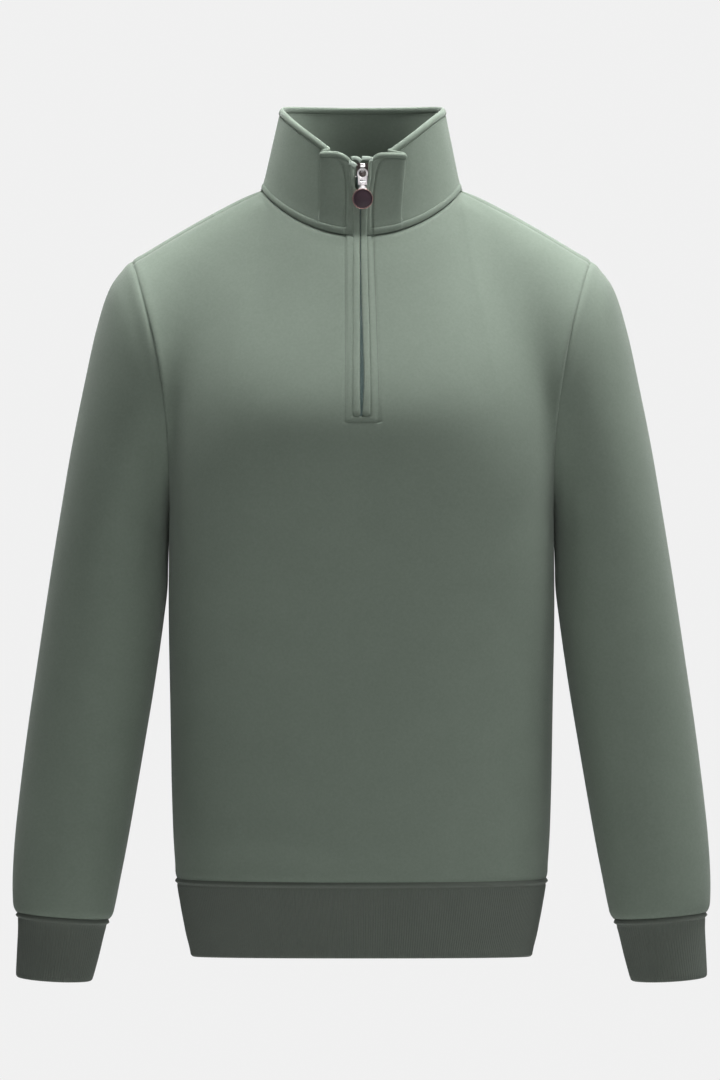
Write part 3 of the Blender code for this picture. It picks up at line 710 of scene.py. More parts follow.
def surface(name):
    """A surface by its name, made the first time that it is asked for."""
    found = bpy.data.materials.get(name)
    if found:
        return found
    cloth = bpy.context.scene.sweater_cloth
    trim = bpy.context.scene.sweater_trim
    if name == "sage_knit":
        return make_cloth(name, cloth.sage, cloth.sage_loop_shadow_and_mottle)
    if name == "sage_rib":
        return make_cloth(name, cloth.rib, cloth.rib_loop_shadow_and_mottle, wale=0.00115, mottle=0.4)
    if name == "zip_tape_weave":
        return make_cloth(name, trim.tape, trim.tape_thread_shadow_and_mottle, wale=0.0006, course=0.0005, bump=0.00008)
    if name == "sewing_thread":
        return make_thread(name, cloth.thread)
    if name == "teal_teeth":
        return make_speckled(name, trim.teeth, 700.0, 3.0, 0.75, 0.25)
    if name == "plum_enamel":
        made = make_speckled(name, trim.disc, 1600.0, 2.0, 1.6, 0.2)
        made.node_tree.nodes["Principled BSDF"].inputs["Specular IOR Level"].default_value = 0.25
        return made
    # The slider body's very dark metal is painted shade: it makes the gaps beside the link look black.
    metals = {"bright_metal": trim.metal, "dull_metal": trim.darkening, "rose_metal": trim.rim,
              "satin_metal": [BRIDGE_SHADE_SHARE * share for share in trim.metal]}
    return make_metal(name, metals[name])


def make_thread(name, colour):
    """Twisted sewing thread."""
    made, tree, shader = new_surface(name)
    twist = node(tree, "ShaderNodeTexWave", {"Vector": object_place(tree), "Scale": 900.0, "Distortion": 1.5},
                 bands_direction="DIAGONAL").outputs[1]
    feed(tree, shader, {"Base Color": blend_colour(tree, twist, tinted(colour), tinted(colour, 0.7)),
                        "Normal": bump_from(tree, twist, 0.00006), "Roughness": 0.6})
    return made


def make_speckled(name, colour, scale, detail, tint, gloss_spread):
    """A smooth hard surface with faint flecks or scuffs in its colour and gloss."""
    made, tree, shader = new_surface(name)
    fleck = noise(tree, scale, detail)
    feed(tree, shader, {"Base Color": blend_colour(tree, fleck, tinted(colour), tinted(colour, tint)),
                        "Roughness": maths(tree, "MULTIPLY_ADD", fleck, gloss_spread, 0.3)})
    return made


def metal_wear():
    """Fine brushing, handling smudges and paler worn edges for the zip's metal."""
    found = bpy.data.node_groups.get("metal_wear")
    if found:
        return found
    group, given, put = effect("metal_wear", [
        ("Metal", "Color", (0.8, 0.78, 0.78, 1.0)), ("Tarnish", "Color", (0.45, 0.4, 0.4, 1.0))])
    stretched = node(group, "ShaderNodeMapping", {0: object_place(group), 3: BRUSHING}).outputs[0]
    patches = noise(group, 240.0, 3.0)
    edge = node(group, "ShaderNodeNewGeometry").outputs["Pointiness"]
    edge = node(group, "ShaderNodeMapRange", {"Value": edge, "From Min": 0.42, "From Max": 0.5}).outputs[0]
    darkening = maths(group, "MULTIPLY", maths(group, "SUBTRACT", 1.0, edge), patches)
    feed(group, put, {"Colour": blend_colour(group, darkening, given["Metal"], given["Tarnish"]),
                      "Roughness": maths(group, "MULTIPLY_ADD", patches, 0.25, 0.08),
                      "Height": noise(group, 1.0, 2.0, place=stretched)})
    return group


def make_metal(name, colour):
    """Polished plated metal."""
    made, _, shader = effect_surface(
        name, metal_wear(), {"Metal": tinted(colour), "Tarnish": tinted(colour, 0.6)}, 0.00001)
    shader.inputs["Metallic"].default_value = 0.65
    return made


# ---------------------------------------------------------------- pieces of cloth

# Soft folds on the front and back, seen from the front: the line they follow in x and z, how far
# they bow from it, their half width, and their depth (below 0 is a trough).
FRONT_FOLDS = table("x1 z1 x2 z2 bow width depth", """
    176 -262 136 -336 5 15 -1.2
    -176 -255 -134 -330 -5 14 -1.3
    176 -300 122 -366 5 13 0.8
    -176 -294 -116 -360 -5 13 0.9
    -150 -420 -60 -520 8 26 -0.9
    150 -450 70 -560 -8 24 -0.8
    -140 -590 -30 -612 3 12 0.9
    20 -604 142 -588 -3 13 0.8
""")
BACK_FOLDS = table("x1 z1 x2 z2 bow width depth", """
    160 -150 96 -250 6 15 -2.4
    -162 -160 -104 -268 -6 14 -2.1
    150 -300 40 -372 9 20 -1.6
    -148 -330 -36 -418 -9 22 -1.4
    130 -520 -20 -566 7 20 -1.3
    -134 -566 10 -604 -6 16 -1.2
    60 -20 -60 -22 -6 12 -0.9
""")


def panel_grid(shares, levels, back):
    """A whole panel, its columns running from -X to +X (from +X to -X on the back)."""
    rows = []
    for level in levels:
        half = [panel_point(share, level, back) for share in shares]
        mirror = [Vector((-point.x, point.y, point.z)) for point in half]
        if back:
            rows.append(list(reversed(half)) + mirror[1:])
        else:
            left, right = mirror[0], half[0]
            middle = [left.lerp(right, i / 5.0) for i in range(1, 5)]
            rows.append(list(reversed(mirror)) + middle + half)
    return as_array(rows)


# Distance of the zip border's sewn lines from the centre. They flare at the top into the lines
# under the collar's edge.
BORDER = table("z right left", """
    -222 14.3 15.7
    -195 14.3 15.6
    -120 14.8 13.4
    -46 15 11.5
    0 14.7 11.8
    13 16 13.7
    19 17.6 15.6
    22.5 19.6 17.6
    24.5 22.5 20.5
    25.5 26 24.5
""")


def zip_border_x(z, side):
    """Distance of the zip border's sewn line from the centre."""
    row = read_row(BORDER, min(row_place(BORDER, "z", z), len(BORDER) - 1.0))
    return row["left"] if side > 0.0 else row["right"]


def zip_border_relief(points):
    """The sewn line round the zip and the slight fullness it holds."""
    x = points[:, :, 0]
    z = points[:, :, 2]
    line = np.vectorize(zip_border_x)(z, np.sign(x))
    below = np.maximum(BORDER_FOOT_Z - z, 0.0)
    sides = groove(np.where(z > BORDER_FOOT_Z, np.abs(np.abs(x) - line), 99.0))
    foot = np.where(np.abs(x) < line + 0.4, groove(z - BORDER_FOOT_Z), 0.0)
    inside = ease((line - np.abs(x)) / 2.0) * ease(1.0 - below / 2.0)
    return sides + foot + 0.5 * inside


def smoothed(values, run, reach):
    """Values evened out along each row, by distance run."""
    gap = (run[:, None, :] - run[:, :, None]) / reach
    weight = np.exp(-gap ** 2) * np.gradient(run, axis=1)[:, None, :]
    return (weight * values[:, None, :]).sum(axis=2) / weight.sum(axis=2)


def evened(points, shares, levels):
    """Depth evened out under the corner of neck and shoulder, and up and down past the underarm."""
    depth = points[:, :, 1]
    near_corner = np.exp(-((shares - NECK_SHARE) / CORNER_REACH) ** 2)
    share = near_corner[None, :] * (ease(levels / 0.25) * ease((1.0 - levels) / 0.1))[:, None]
    points[:, :, 1] += (smoothed(depth, run_across(points, False), CORNER_SMOOTHING) - depth) * share
    depth = points[:, :, 1]
    near_underarm = np.exp(-((points[:, :, 2] - UNDERARM_Z - 5.0) / UNDERARM_REACH) ** 4)
    share = near_underarm * (1.0 - shares[None, :] ** 6)
    points[:, :, 1] += (smoothed(depth.T, run_up(points).T, UNDERARM_SMOOTHING).T - depth) * share
    return points


def drawn_in(points):
    """The cloth on the zip's left side pulled in to its lip, as far as the lip has drifted."""
    x = points[..., 0]
    far = np.interp(points[..., 2], [row["z"] for row in LIPS], [row["left_out"] for row in LIPS])
    near_zip = (points[..., 1] < FRONT_LINE_Y) & (x > 0.0)
    fading = np.exp(-np.abs(x - SLIT_HALF_WIDTH) / PULL_IN_REACH)
    shift = np.maximum(SLIT_HALF_WIDTH - far + 0.25, 0.0) * fading
    moved = points.copy()
    moved[..., 0] = x - np.where(near_zip, shift, 0.0)
    return moved


def edge_ramp(count, finest, growth):
    """Rising shares close to 0 that open out from a finest step."""
    values = [0.0]
    step = finest
    for _ in range(count):
        values.append(values[-1] + step)
        step *= growth
    return values


def ramp_down(count, finest, growth):
    """Rising shares that close up towards 1."""
    return [1.0 - share for share in reversed(edge_ramp(count, finest, growth))]


def panel_relief(points, back, top_depth):
    """A panel's seam dips and soft folds."""
    ways = face_ways(points, False)
    across = run_across(points, False)
    up = run_up(points)
    relief = (seam_dip(across) + seam_dip(across[:, -1:] - across)) * open_to_sight(points, ways)
    relief += seam_dip(up[-1:] - up, top_depth) + seam_dip(up, 0.7)
    folds = soft_folds(points, ways, back)
    relief += folds if back else zip_border_relief(points) + folds
    return points + ways * relief[:, :, None]


def panel_levels(upper):
    """Levels from the hem seam to the top edge; upper gives those from the underarm to near the top."""
    low = [HEM_SEAM_Z - UNDERARM_Z + step for step in edge_ramp(9, 0.55, 1.3)]
    near_top = ramp_down(9, 0.0019, 1.3)
    return low + steps(low[-1], 0.0, 62)[1:-1] + upper(near_top[0]) + near_top


def build_front():
    near_zip = [0.0042 * i for i in range(26)]
    near_side = ramp_down(9, 0.0022, 1.25)
    shares = near_zip + steps(near_zip[-1], near_side[0], 44)[1:-1] + near_side
    slit_level = level_at(ZIP_END_Z, 40)
    foot = [slit_level + 0.0022 * i for i in range(-10, 3)]
    levels = panel_levels(lambda top: steps(0.0, foot[0], 18)[:-1] + foot + steps(foot[-1], top, 44)[1:-1])
    columns = np.array(shares[::-1] + [0.0] * 4 + shares)
    points = evened(panel_grid(shares, levels, False), columns, np.array(levels))
    points = drawn_in(panel_relief(points, False, 0.45))
    middle = len(shares) - 1
    first_open = levels.index(slit_level)

    def leave_out(row, column):
        return middle <= column < middle + 5 and row >= first_open

    made = cloth_wall("front_of_body", points, KNIT_WALL, leave_out=leave_out, centre=middle + 2)
    finish_piece(made, "sage_knit", ["front_panel"])


def build_back():
    near_side = ramp_down(9, 0.0022, 1.25)
    shares = steps(0.0, near_side[0], 52)[:-1] + near_side
    levels = panel_levels(lambda top: steps(0.0, top, 66)[:-1])
    columns = np.array(shares[::-1] + shares[1:])
    points = evened(panel_grid(shares, levels, True), columns, np.array(levels))
    made = cloth_wall("back_of_body", panel_relief(points, True, 0.8), KNIT_WALL, centre=len(shares) - 1)
    finish_piece(made, "sage_knit", ["back_panel"])


def even_ring(make, count):
    """Points evenly spaced round a closed line given by angle."""
    fine = np.array([tuple(make(angle)) for angle in np.linspace(0.0, 360.0, 361)])
    run = np.concatenate([[0.0], np.cumsum(np.linalg.norm(np.diff(fine, axis=0), axis=1))])
    wanted = np.linspace(0.0, run[-1], count + 1)[:-1]
    return np.stack([np.interp(wanted, run, fine[:, axis]) for axis in range(3)], axis=1)


def rib_relief(ribs):
    """Rounded vertical ribs with narrow valleys."""
    columns = ribs * POINTS_PER_RIB
    turn = 2.0 * math.pi * ribs * np.arange(columns) / columns
    return RIB_DEPTH * (np.abs(np.cos(turn / 2.0)) ** 0.7 - 0.7)



def rib_tube(name, rings, ribs, ribs_from):
    """A ribbed tube from its rings of points, its ribs starting a distance under the seam's roll."""
    points = np.array(rings)
    ways = face_ways(points, True)
    up = run_up(points)
    top = up[-1:] - up
    relief = rib_relief(ribs)[None, :] * ease((top - ribs_from) / 1.5) * ease(up / 1.5)
    relief = relief + seam_roll(top) - 0.9 * (1.0 - ease(up / 1.8))
    return cloth_wall(name, points + ways * relief[:, :, None], RIB_WALL, ring=True)


def build_hem():
    heights = [HEM_SEAM_Z - step for step in edge_ramp(14, 0.5, 1.06)]
    heights += steps(heights[-1], HEM_BOTTOM_Z + 3.0, 12)[1:]
    heights += [HEM_BOTTOM_Z + rise for rise in (1.6, 0.7, 0.0)]
    heights.reverse()
    rings = [even_ring(lambda angle, z=z: torso_point(z, angle), HEM_RIBS * POINTS_PER_RIB) for z in heights]
    made = rib_tube("hem_band", rings, HEM_RIBS, 5.5)
    finish_piece(made, "sage_rib", ["hem_rib"])


def seam_roll(top):
    """The turned seam allowance that stands up as a roll just under a rib's seam."""
    return (-0.7 * np.exp(-(top / 0.6) ** 2) + 1.5 * np.exp(-((top - 2.6) / 1.5) ** 2)
            - 0.5 * np.exp(-((top - 5.4) / 0.7) ** 2))


def lean(point, place):
    """How far the sleeve's cloth stands off the body's; under the arm it lies against it."""
    under_arm = float(ease((192.0 - point.x) / 8.0) * ease((6.3 - place) / 1.2))
    return SLEEVE_CLEARANCE * float(ease(place / 0.5)) - 1.7 * under_arm


def build_sleeves():
    places = edge_ramp(9, 0.02, 1.3)
    last = len(SLEEVE) - 1
    end = [last - step for step in reversed(edge_ramp(8, 0.04, 1.3))]
    places = places + steps(places[-1], end[0], 110)[1:-1] + end
    angles = np.linspace(0.0, 360.0, 121)[:-1]
    for label, side in SIDES:
        rings = []
        for place in reversed(places):
            row = read_row(SLEEVE, place)
            ring = [ring_point(row, angle) for angle in -side * angles]
            rings.append([Vector((side * (point.x + lean(point, place)), point.y, point.z))
                          for point in ring])
        points = as_array(rings)
        ways = face_ways(points, True)
        up = run_up(points)
        relief = seam_dip(up[-1:] - up, 0.9, 1.6, 0.6) * open_to_sight(points, ways) + seam_dip(up, 0.7)
        made = cloth_wall("sleeve_on_" + label, points + ways * relief[:, :, None], KNIT_WALL, ring=True)
        finish_piece(made, "sage_knit", ["sleeve_" + label])


def cuff_ring(place, side, count):
    """Even points round a cuff at a fractional row of its table."""
    row = read_row(CUFF, place)

    def at(angle):
        point = ring_point(row, -angle if side > 0 else angle)
        return Vector((side * (point.x + SLEEVE_CLEARANCE), point.y, point.z))

    return even_ring(at, count)


def build_cuffs():
    last = len(CUFF) - 1
    places = edge_ramp(14, 0.028, 1.06)
    places = places + steps(places[-1], last - 0.09, 12)[1:] + [last - 0.05, last - 0.02, float(last)]
    for label, side in SIDES:
        rings = [cuff_ring(place, side, CUFF_RIBS * POINTS_PER_RIB) for place in reversed(places)]
        made = rib_tube("cuff_on_" + label, rings, CUFF_RIBS, 5.0)
        finish_piece(made, "sage_rib", ["cuff_" + label])


# ---------------------------------------------------------------- collar

def edge_height(share):
    """Height of the collar's edge roll: low in front, full on the slants, middling at the back."""
    return 5.6 + 1.8 * float(ease((share - 0.36) / 0.12)) - 1.1 * float(ease((share - 0.78) / 0.1))


def roll_fullness(share):
    """The edge roll's fullness, which dies away into the zip's border."""
    return float(ease((share - 0.07) / 0.11))


def outward_at(share, up, side):
    """Unit vector out of the collar's face."""
    step = 0.004
    ahead = collar_point(min(share + step, 1.0), up, side) - collar_point(max(share - step, 0.0), up, side)
    rise = collar_point(share, min(up + 0.02, 1.0), side) - collar_point(share, max(up - 0.02, 0.0), side)
    return ahead.cross(rise).normalized() * side


def collar_height(share, side):
    return (collar_point(share, 1.0, side) - collar_point(share, 0.0, side)).length


def round_collar(count, make):
    """Points from the -X side of the zip round the back to the +X side."""
    shares = steps(0.0, 1.0, count)
    right = [make(share, -1.0) for share in shares]
    left = [make(share, 1.0) for share in reversed(shares)]
    return right + left[1:]


def build_collar():
    rows = []
    for up_share in [0.0, 0.012, 0.03, 0.055] + steps(0.09, 0.93, 26) + [0.955, 0.975, 0.988, 1.0]:
        def make(share, side, up_share=up_share):
            height = collar_height(share, side)
            low = 1.0 / height
            high = 1.0 - edge_height(share) / height
            return collar_point(share, low + (high - low) * up_share, side)
        rows.append(round_collar(150, make)[::-1])
    points = as_array(rows)
    ways = face_ways(points, False)
    up = run_up(points)
    fullness = round_collar(150, lambda share, side: roll_fullness(share))
    relief = seam_dip(up, 0.6) + groove(up[-1:] - up, 0.4, 0.8) * np.array(fullness[::-1])[None, :]
    relief += zip_border_relief(points) * (points[:, :, 1] < FRONT_LINE_Y)
    points = drawn_in(points + ways * relief[:, :, None])
    made = cloth_wall("stand_collar", points, COLLAR_WALL, centre=149)
    finish_piece(made, "sage_knit", ["collar"])


ROLL = table("up out flat", """
    0 -0.9 -0.1
    0.04 0 0.1
    0.13 0.6 0.25
    0.3 0.95 0.3
    0.5 0.9 0.2
    0.7 0.5 0
    0.87 -0.2 -0.3
    0.98 -1 -0.8
    1 -1.8 -1.4
    0.85 -2.45 -1.9
    0.6 -2.75 -2.1
    0.35 -2.65 -2.1
    0.08 -2.3 -2
    0 -1.8 -1.8
""")


def drawn_section(section):
    """A roll's section with drawn_in applied."""
    return [Vector(point) for point in drawn_in(as_array([section]))[0]]


def build_collar_edge():
    def make(share, side):
        start = 1.0 - edge_height(share) / collar_height(share, side)
        outward = outward_at(share, start, side)
        fullness = roll_fullness(share)
        section = []
        for row in ROLL:
            out = row["flat"] + (row["out"] - row["flat"]) * fullness
            section.append(collar_point(share, start + (1.0 - start) * row["up"], side) + outward * out)
        return drawn_section(section)

    made = swept_cloth("collar_edge_roll", round_collar(180, make))
    finish_piece(made, "sage_knit", ["collar_edge"])


BAND = table("height out", """
    0.4 -0.3
    0.6 0.25
    1.2 0.8
    2.4 1.15
    3.8 1.25
    5.2 1.15
    6.4 0.8
    7 0.25
    7.2 -0.3
    3.8 -0.4
""")


def build_neck_band():
    def make(share, side):
        height = collar_height(share, side)
        border = 15.0 if side < 0.0 else 11.5
        full = 0.4 + 0.6 * float(ease((collar_point(share, 0.05, side).x * side - border) / 1.6))
        section = []
        for row in BAND:
            up = row["height"] / height
            section.append(collar_point(share, up, side) + outward_at(share, up, side) * row["out"] * full)
        return drawn_section(section)

    made = swept_cloth("neck_seam_roll", round_collar(220, make))
    finish_piece(made, "sage_knit", ["neck_band"])


def swept_cloth(name, sections):
    """A closed roll through like sections, its ends closed, with its map along and round it."""
    points = as_array(sections)
    count, corners = points.shape[:2]
    along = run_up(points).mean(axis=1)
    around = run_across(points, True)
    faces = []
    uvs = []
    for s in range(count - 1):
        for c in range(corners):
            n = (c + 1) % corners
            faces.append((s * corners + c, s * corners + n, (s + 1) * corners + n, (s + 1) * corners + c))
            uvs += [(along[i] * MM, around[i][j] * MM)
                    for i, j in ((s, c), (s, c + 1), (s + 1, c + 1), (s + 1, c))]
    for s, order in ((0, range(corners - 1, -1, -1)), (count - 1, range(corners))):
        faces.append(tuple(s * corners + c for c in order))
        uvs += [(along[s] * MM, around[s][c] * MM) for c in order]
    made = mesh_object(name, points.reshape(-1, 3), faces, uvs)
    recalculate(made)
    return made


# ---------------------------------------------------------------- zip

# The zip's two lips down the front: height, then the near and far edge of each from the centre.
# They part at the slider, and lower down they stand open over the teeth.
LIPS = table("z right_in right_out left_in left_out", """
    -216 0.8 8.2 0.4 8
    -200 1.2 8.2 1.4 8.1
    -180 1.4 8.2 2.1 8.1
    -150 1.3 8.2 1.5 7.5
    -110 1.3 8.1 0.2 6.5
    -60 1.4 8 -0.7 5.5
    -25 1.6 8 -0.8 5.2
    -10 2.3 8.3 0.4 5.9
    0 6.3 10.2 4 7.4
    8 7.1 11.2 6 8.8
    16 7.1 11.3 6.2 9
    24 6.4 10.6 6 9.2
""")


def lip_section(side, z, drop):
    """The lip's outline at a height, its inner corners lowered by drop."""
    row = read_row(LIPS, row_place(LIPS, "z", z))
    name = "left" if side > 0.0 else "right"
    near, far = row[name + "_in"], row[name + "_out"]
    middle, half = (near + far) / 2.0, (far - near) / 2.0
    y, outward = front_face(z)
    section = []
    for i in range(16):
        turn = 2.0 * math.pi * i / 16.0
        x = power_of(math.cos(turn), 0.75)
        out = power_of(math.sin(turn), 0.85)
        out = 0.1 + (1.35 if out > 0.0 else 1.0) * out
        lowered = drop * (1.0 - x) / 2.0
        section.append(Vector((side * (middle + half * x), y, z - lowered)) + outward * out)
    return section


def build_lips():
    for name, side, top, slant in (("zip_lip_left", 1.0, 25.0, 3.5), ("zip_lip_right", -1.0, 24.5, 6.5)):
        heights = steps(ZIP_END_Z + 3.0, -20.0, 70) + steps(-18.0, top - 1.0, 28)
        sections = [lip_section(side, z, slant * float(ease((z - top + 14.0) / 14.0))) for z in heights]
        first = sections[0]
        for share in (0.35, 0.7, 0.93):
            turn = share * math.pi / 2.0
            lowered = [point + Vector((0.0, 0.0, -LIP_FOOT * math.sin(turn))) for point in first]
            sections.insert(0, shrunk(lowered, math.cos(turn)))
        sections.append(shrunk([point + Vector((0.0, 0.2, 0.7)) for point in sections[-1]], 0.55))
        made = swept_cloth(name, sections)
        finish_piece(made, "sage_knit", ["zip_welt_left" if side > 0 else "zip_welt_right"])


def shrunk(section, share):
    """A section drawn in towards its middle."""
    middle = sum(section, Vector()) / len(section)
    return [middle + (point - middle) * share for point in section]


# The tapes' turned ends beside the slider: name, half width, then a cubic's control points.
TAPE_ENDS = (
    ("tape_end_left", 1.9,
     ((10.4, -66.4, 24.2), (8.0, -67.0, 25.0), (5.0, -66.6, 25.4), (0.4, -65.6, 25.7))),
    ("tape_end_right", 1.7,
     ((-9.2, -65.2, 25.3), (-6.2, -65.8, 26.3), (-3.0, -66.0, 25.6), (-0.6, -66.4, 22.6))),
    ("tape_end_low", 2.1,
     ((-11.4, -67.6, 21.4), (-9.4, -68.4, 21.2), (-7.2, -68.5, 19.8), (-5.2, -68.2, 17.6))),
)


def build_tapes():
    """Woven tapes behind the lips."""
    for name, side, opening, run, node_name in (("zip_tape_on_left", 1.0, 5.0, 20.0, "zip_tape_left"),
                                                ("zip_tape_on_right", -1.0, 8.0, 11.0, "zip_tape_right")):
        rows = []
        for z in steps(ZIP_END_Z - 3.0, 16.0, 90):
            y, outward = front_face(z)
            open_up = float(ease((z + 14.0) / run))
            near = 1.0 + side * SLIDER_X + opening * open_up
            depth = -TAPE_DEPTH - 1.2 * open_up
            line = [Vector((side * x, y, z)) + outward * depth for x in steps(near, TAPE_FAR_EDGE, 7)]
            rows.append(line if side > 0.0 else line[::-1])
        made = cloth_wall(name, as_array(rows), TAPE_WALL)
        finish_piece(made, "zip_tape_weave", [node_name])


def build_tape_ends():
    """The tapes' top ends, folded over beside the slider."""
    for name, half, path in TAPE_ENDS:
        path = [Vector(point) for point in path]
        rows = []
        for t in steps(0.0, 1.0, 12):
            point = bezier(path, t)
            ahead = bezier(path, min(t + 0.05, 1.0)) - bezier(path, max(t - 0.05, 0.0))
            wide = ahead.cross(Vector((0.0, -1.0, 0.25))).normalized()
            curl = 0.35 * math.sin(math.pi * t)
            rows.append([point + wide * half * s + Vector((0.0, -curl * (1.0 - s * s), 0.0))
                         for s in steps(-1.0, 1.0, 7)])
        made = cloth_wall(name, as_array(rows), TAPE_END_WALL)
        finish_piece(made, "zip_tape_weave")


def bezier(points, t):
    """Point of a cubic through its control points."""
    a, b, c, d = points
    s = 1.0 - t
    return a * s ** 3 + b * 3 * s * s * t + c * 3 * s * t * t + d * t ** 3


def copies_of(source, name, places):
    """One mesh of many copies of a small source mesh, each at its own matrix."""
    verts = np.array([tuple(vert.co) for vert in source.data.vertices])
    polygons = [tuple(face.vertices) for face in source.data.polygons]
    all_verts = []
    faces = []
    for matrix in places:
        grid = np.array(matrix)
        base = len(all_verts) * len(verts)
        all_verts.append(verts @ grid[:3, :3].T + grid[:3, 3])
        faces += [tuple(base + i for i in polygon) for polygon in polygons]
    made = mesh_object(name, np.concatenate(all_verts) / MM, faces)
    bpy.data.objects.remove(source)
    return made


def start_primitive(adder, name, **settings):
    """Add a primitive with nothing else selected, its scale and turn applied."""
    bpy.ops.object.select_all(action="DESELECT")
    scale = settings.pop("scale", None)
    adder(**settings)
    made = bpy.context.object
    made.name = name
    if scale:
        made.scale = scale
    bpy.ops.object.transform_apply(location=True, rotation=True, scale=True)
    return made


def edit_faces(made, pick):
    """Enter edit mode in face mode with the picked faces selected."""
    mesh = made.data
    for parts in (mesh.polygons, mesh.edges, mesh.vertices):
        for part in parts:
            part.select = False
    for polygon in mesh.polygons:
        polygon.select = pick(polygon)
    bpy.ops.object.mode_set(mode="EDIT")
    bpy.ops.mesh.select_mode(type="FACE")


def leave_edit():
    bpy.ops.object.mode_set(mode="OBJECT")


def taper(made, axis, sign, size):
    """Resize the faces of a piece that look one way along an axis, 0 to 2."""
    edit_faces(made, lambda face: sign * face.normal[axis] > 0.9)
    bpy.ops.transform.resize(value=size)
    leave_edit()


def raise_front(made, inset, move):
    """Inset the faces that look out of the cloth and move them along Y, mm."""
    edit_faces(made, lambda face: face.normal.y < -0.9)
    bpy.ops.mesh.inset(thickness=inset * MM, depth=0.0)
    bpy.ops.mesh.extrude_region_move(TRANSFORM_OT_translate={"value": (0.0, move * MM, 0.0)})
    leave_edit()


def placed(place, along, out, up):
    """Matrix that stands a small part at a place in mm, its axes along the given ways."""
    return Matrix.Translation(place * MM) @ Matrix((along, out, up)).transposed().to_4x4()


def apply_modifier(made, kind, **settings):
    """Add a modifier to a piece and apply it."""
    change = made.modifiers.new(kind.lower(), kind)
    for key, value in settings.items():
        setattr(change, key, value)
    bpy.ops.object.select_all(action="DESELECT")
    bpy.context.view_layer.objects.active = made
    made.select_set(True)
    bpy.ops.object.modifier_apply(modifier=change.name)


def soften_edges(made, width, segments=2, angle=35.0):
    """Round a hard piece's edges and shade it smooth."""
    apply_modifier(made, "BEVEL", width=width * MM, segments=segments, limit_method="ANGLE",
                   angle_limit=math.radians(angle), harden_normals=False)
    bpy.ops.object.shade_smooth_by_angle(angle=math.radians(45.0))


def build_teeth():
    """One tooth, made once and copied down both tapes, each side set half a pitch lower."""
    pitch = bpy.context.scene.sweater_trim.tooth_pitch
    tooth = start_primitive(bpy.ops.mesh.primitive_cube_add, "tooth", size=1.0)
    edit_faces(tooth, lambda face: face.normal.x < -0.5)
    bpy.ops.transform.resize(value=(1.0, 0.75, 0.6))
    bpy.ops.mesh.extrude_region_move(TRANSFORM_OT_translate={"value": (-0.35, 0.0, 0.0)})
    bpy.ops.transform.resize(value=(1.0, 0.8, 1.35))
    bpy.ops.mesh.select_all(action="SELECT")
    bpy.ops.transform.resize(value=(0.0018, 0.0013, pitch * 0.62), center_override=(0.0, 0.0, 0.0))
    leave_edit()
    apply_modifier(tooth, "BEVEL", width=0.00012, segments=1)
    places = []
    for i in range(int((10.0 - ZIP_END_Z) * MM / pitch)):
        for side in (1.0, -1.0):
            z = ZIP_END_Z + 2.0 + (i + (0.5 if side > 0 else 0.0)) * pitch / MM
            y, outward = front_face(z)
            open_up = 2.2 * float(ease((z + 6.0) / 12.0))
            row = read_row(LIPS, row_place(LIPS, "z", z))
            centre = (row["left_in"] - row["right_in"]) / 2.0
            place = Vector((centre + side * (0.75 + open_up), y, z)) + outward * -TOOTH_DEPTH
            across = Vector((side, 0.0, 0.0))
            rise = across.cross(-outward).normalized() if side > 0 else outward.cross(across).normalized()
            places.append(placed(place, across, -outward, rise))
    made = copies_of(tooth, "zip_teeth", places)
    recalculate(made)
    finish_piece(made, "teal_teeth", ["zip_chain"])


def recalculate(made):
    """Turn a closed mesh's faces outwards."""
    shape = bmesh.new()
    shape.from_mesh(made.data)
    bmesh.ops.recalc_face_normals(shape, faces=shape.faces)
    shape.to_mesh(made.data)
    shape.free()


# ---------------------------------------------------------------- stitches

def one_stitch():
    """A short plump length of thread, lying along X, its ends sunk into the cloth."""
    trim = bpy.context.scene.sweater_trim
    made = start_primitive(bpy.ops.mesh.primitive_cylinder_add, "stitch", vertices=6, radius=0.5, depth=1.0,
                           rotation=(0.0, math.pi / 2.0, 0.0))
    edit_faces(made, lambda face: abs(face.normal.x) > 0.9)
    bpy.ops.mesh.inset(thickness=0.12, depth=0.0)
    bpy.ops.transform.resize(value=(1.35, 0.6, 0.6))
    bpy.ops.mesh.select_all(action="SELECT")
    bpy.ops.transform.resize(value=(trim.stitch_length * 0.72, trim.thread, trim.thread),
                             center_override=(0.0, 0.0, 0.0))
    leave_edit()
    return made


def sew(name, line):
    """Stitches along a line of (point in mm, way out of the cloth there)."""
    step = bpy.context.scene.sweater_trim.stitch_length / MM
    points, ways = (np.array([tuple(pair[part]) for pair in line]) for part in (0, 1))
    run = np.concatenate([[0.0], np.cumsum(np.linalg.norm(np.diff(points, axis=0), axis=1))])

    def at(values, where):
        return Vector([float(np.interp(where, run, values[:, axis])) for axis in range(3)])

    places = []
    for wanted in np.arange(step / 2.0, run[-1] - step / 2.0, step):
        along = (at(points, wanted + 0.5) - at(points, wanted - 0.5)).normalized()
        out = at(ways, wanted)
        out = (out - along * out.dot(along)).normalized()
        places.append(placed(at(points, wanted) - out * STITCH_SINK, along, out, along.cross(out)))
    made = copies_of(one_stitch(), name, places)
    recalculate(made)
    finish_piece(made, "sewing_thread")


def lie_on(names, x, z):
    """Point in mm and way out where a line straight through the front first meets the named pieces."""
    start = Vector((x * MM, RAY_START_Y, z * MM))
    hits = [bpy.data.objects[name].ray_cast(start, Vector((0.0, 1.0, 0.0))) for name in names]
    hits = [(place, way) for hit, place, way, _ in hits if hit]
    if not hits:
        return None
    place, way = min(hits, key=lambda hit: hit[0].y)
    return place / MM, way


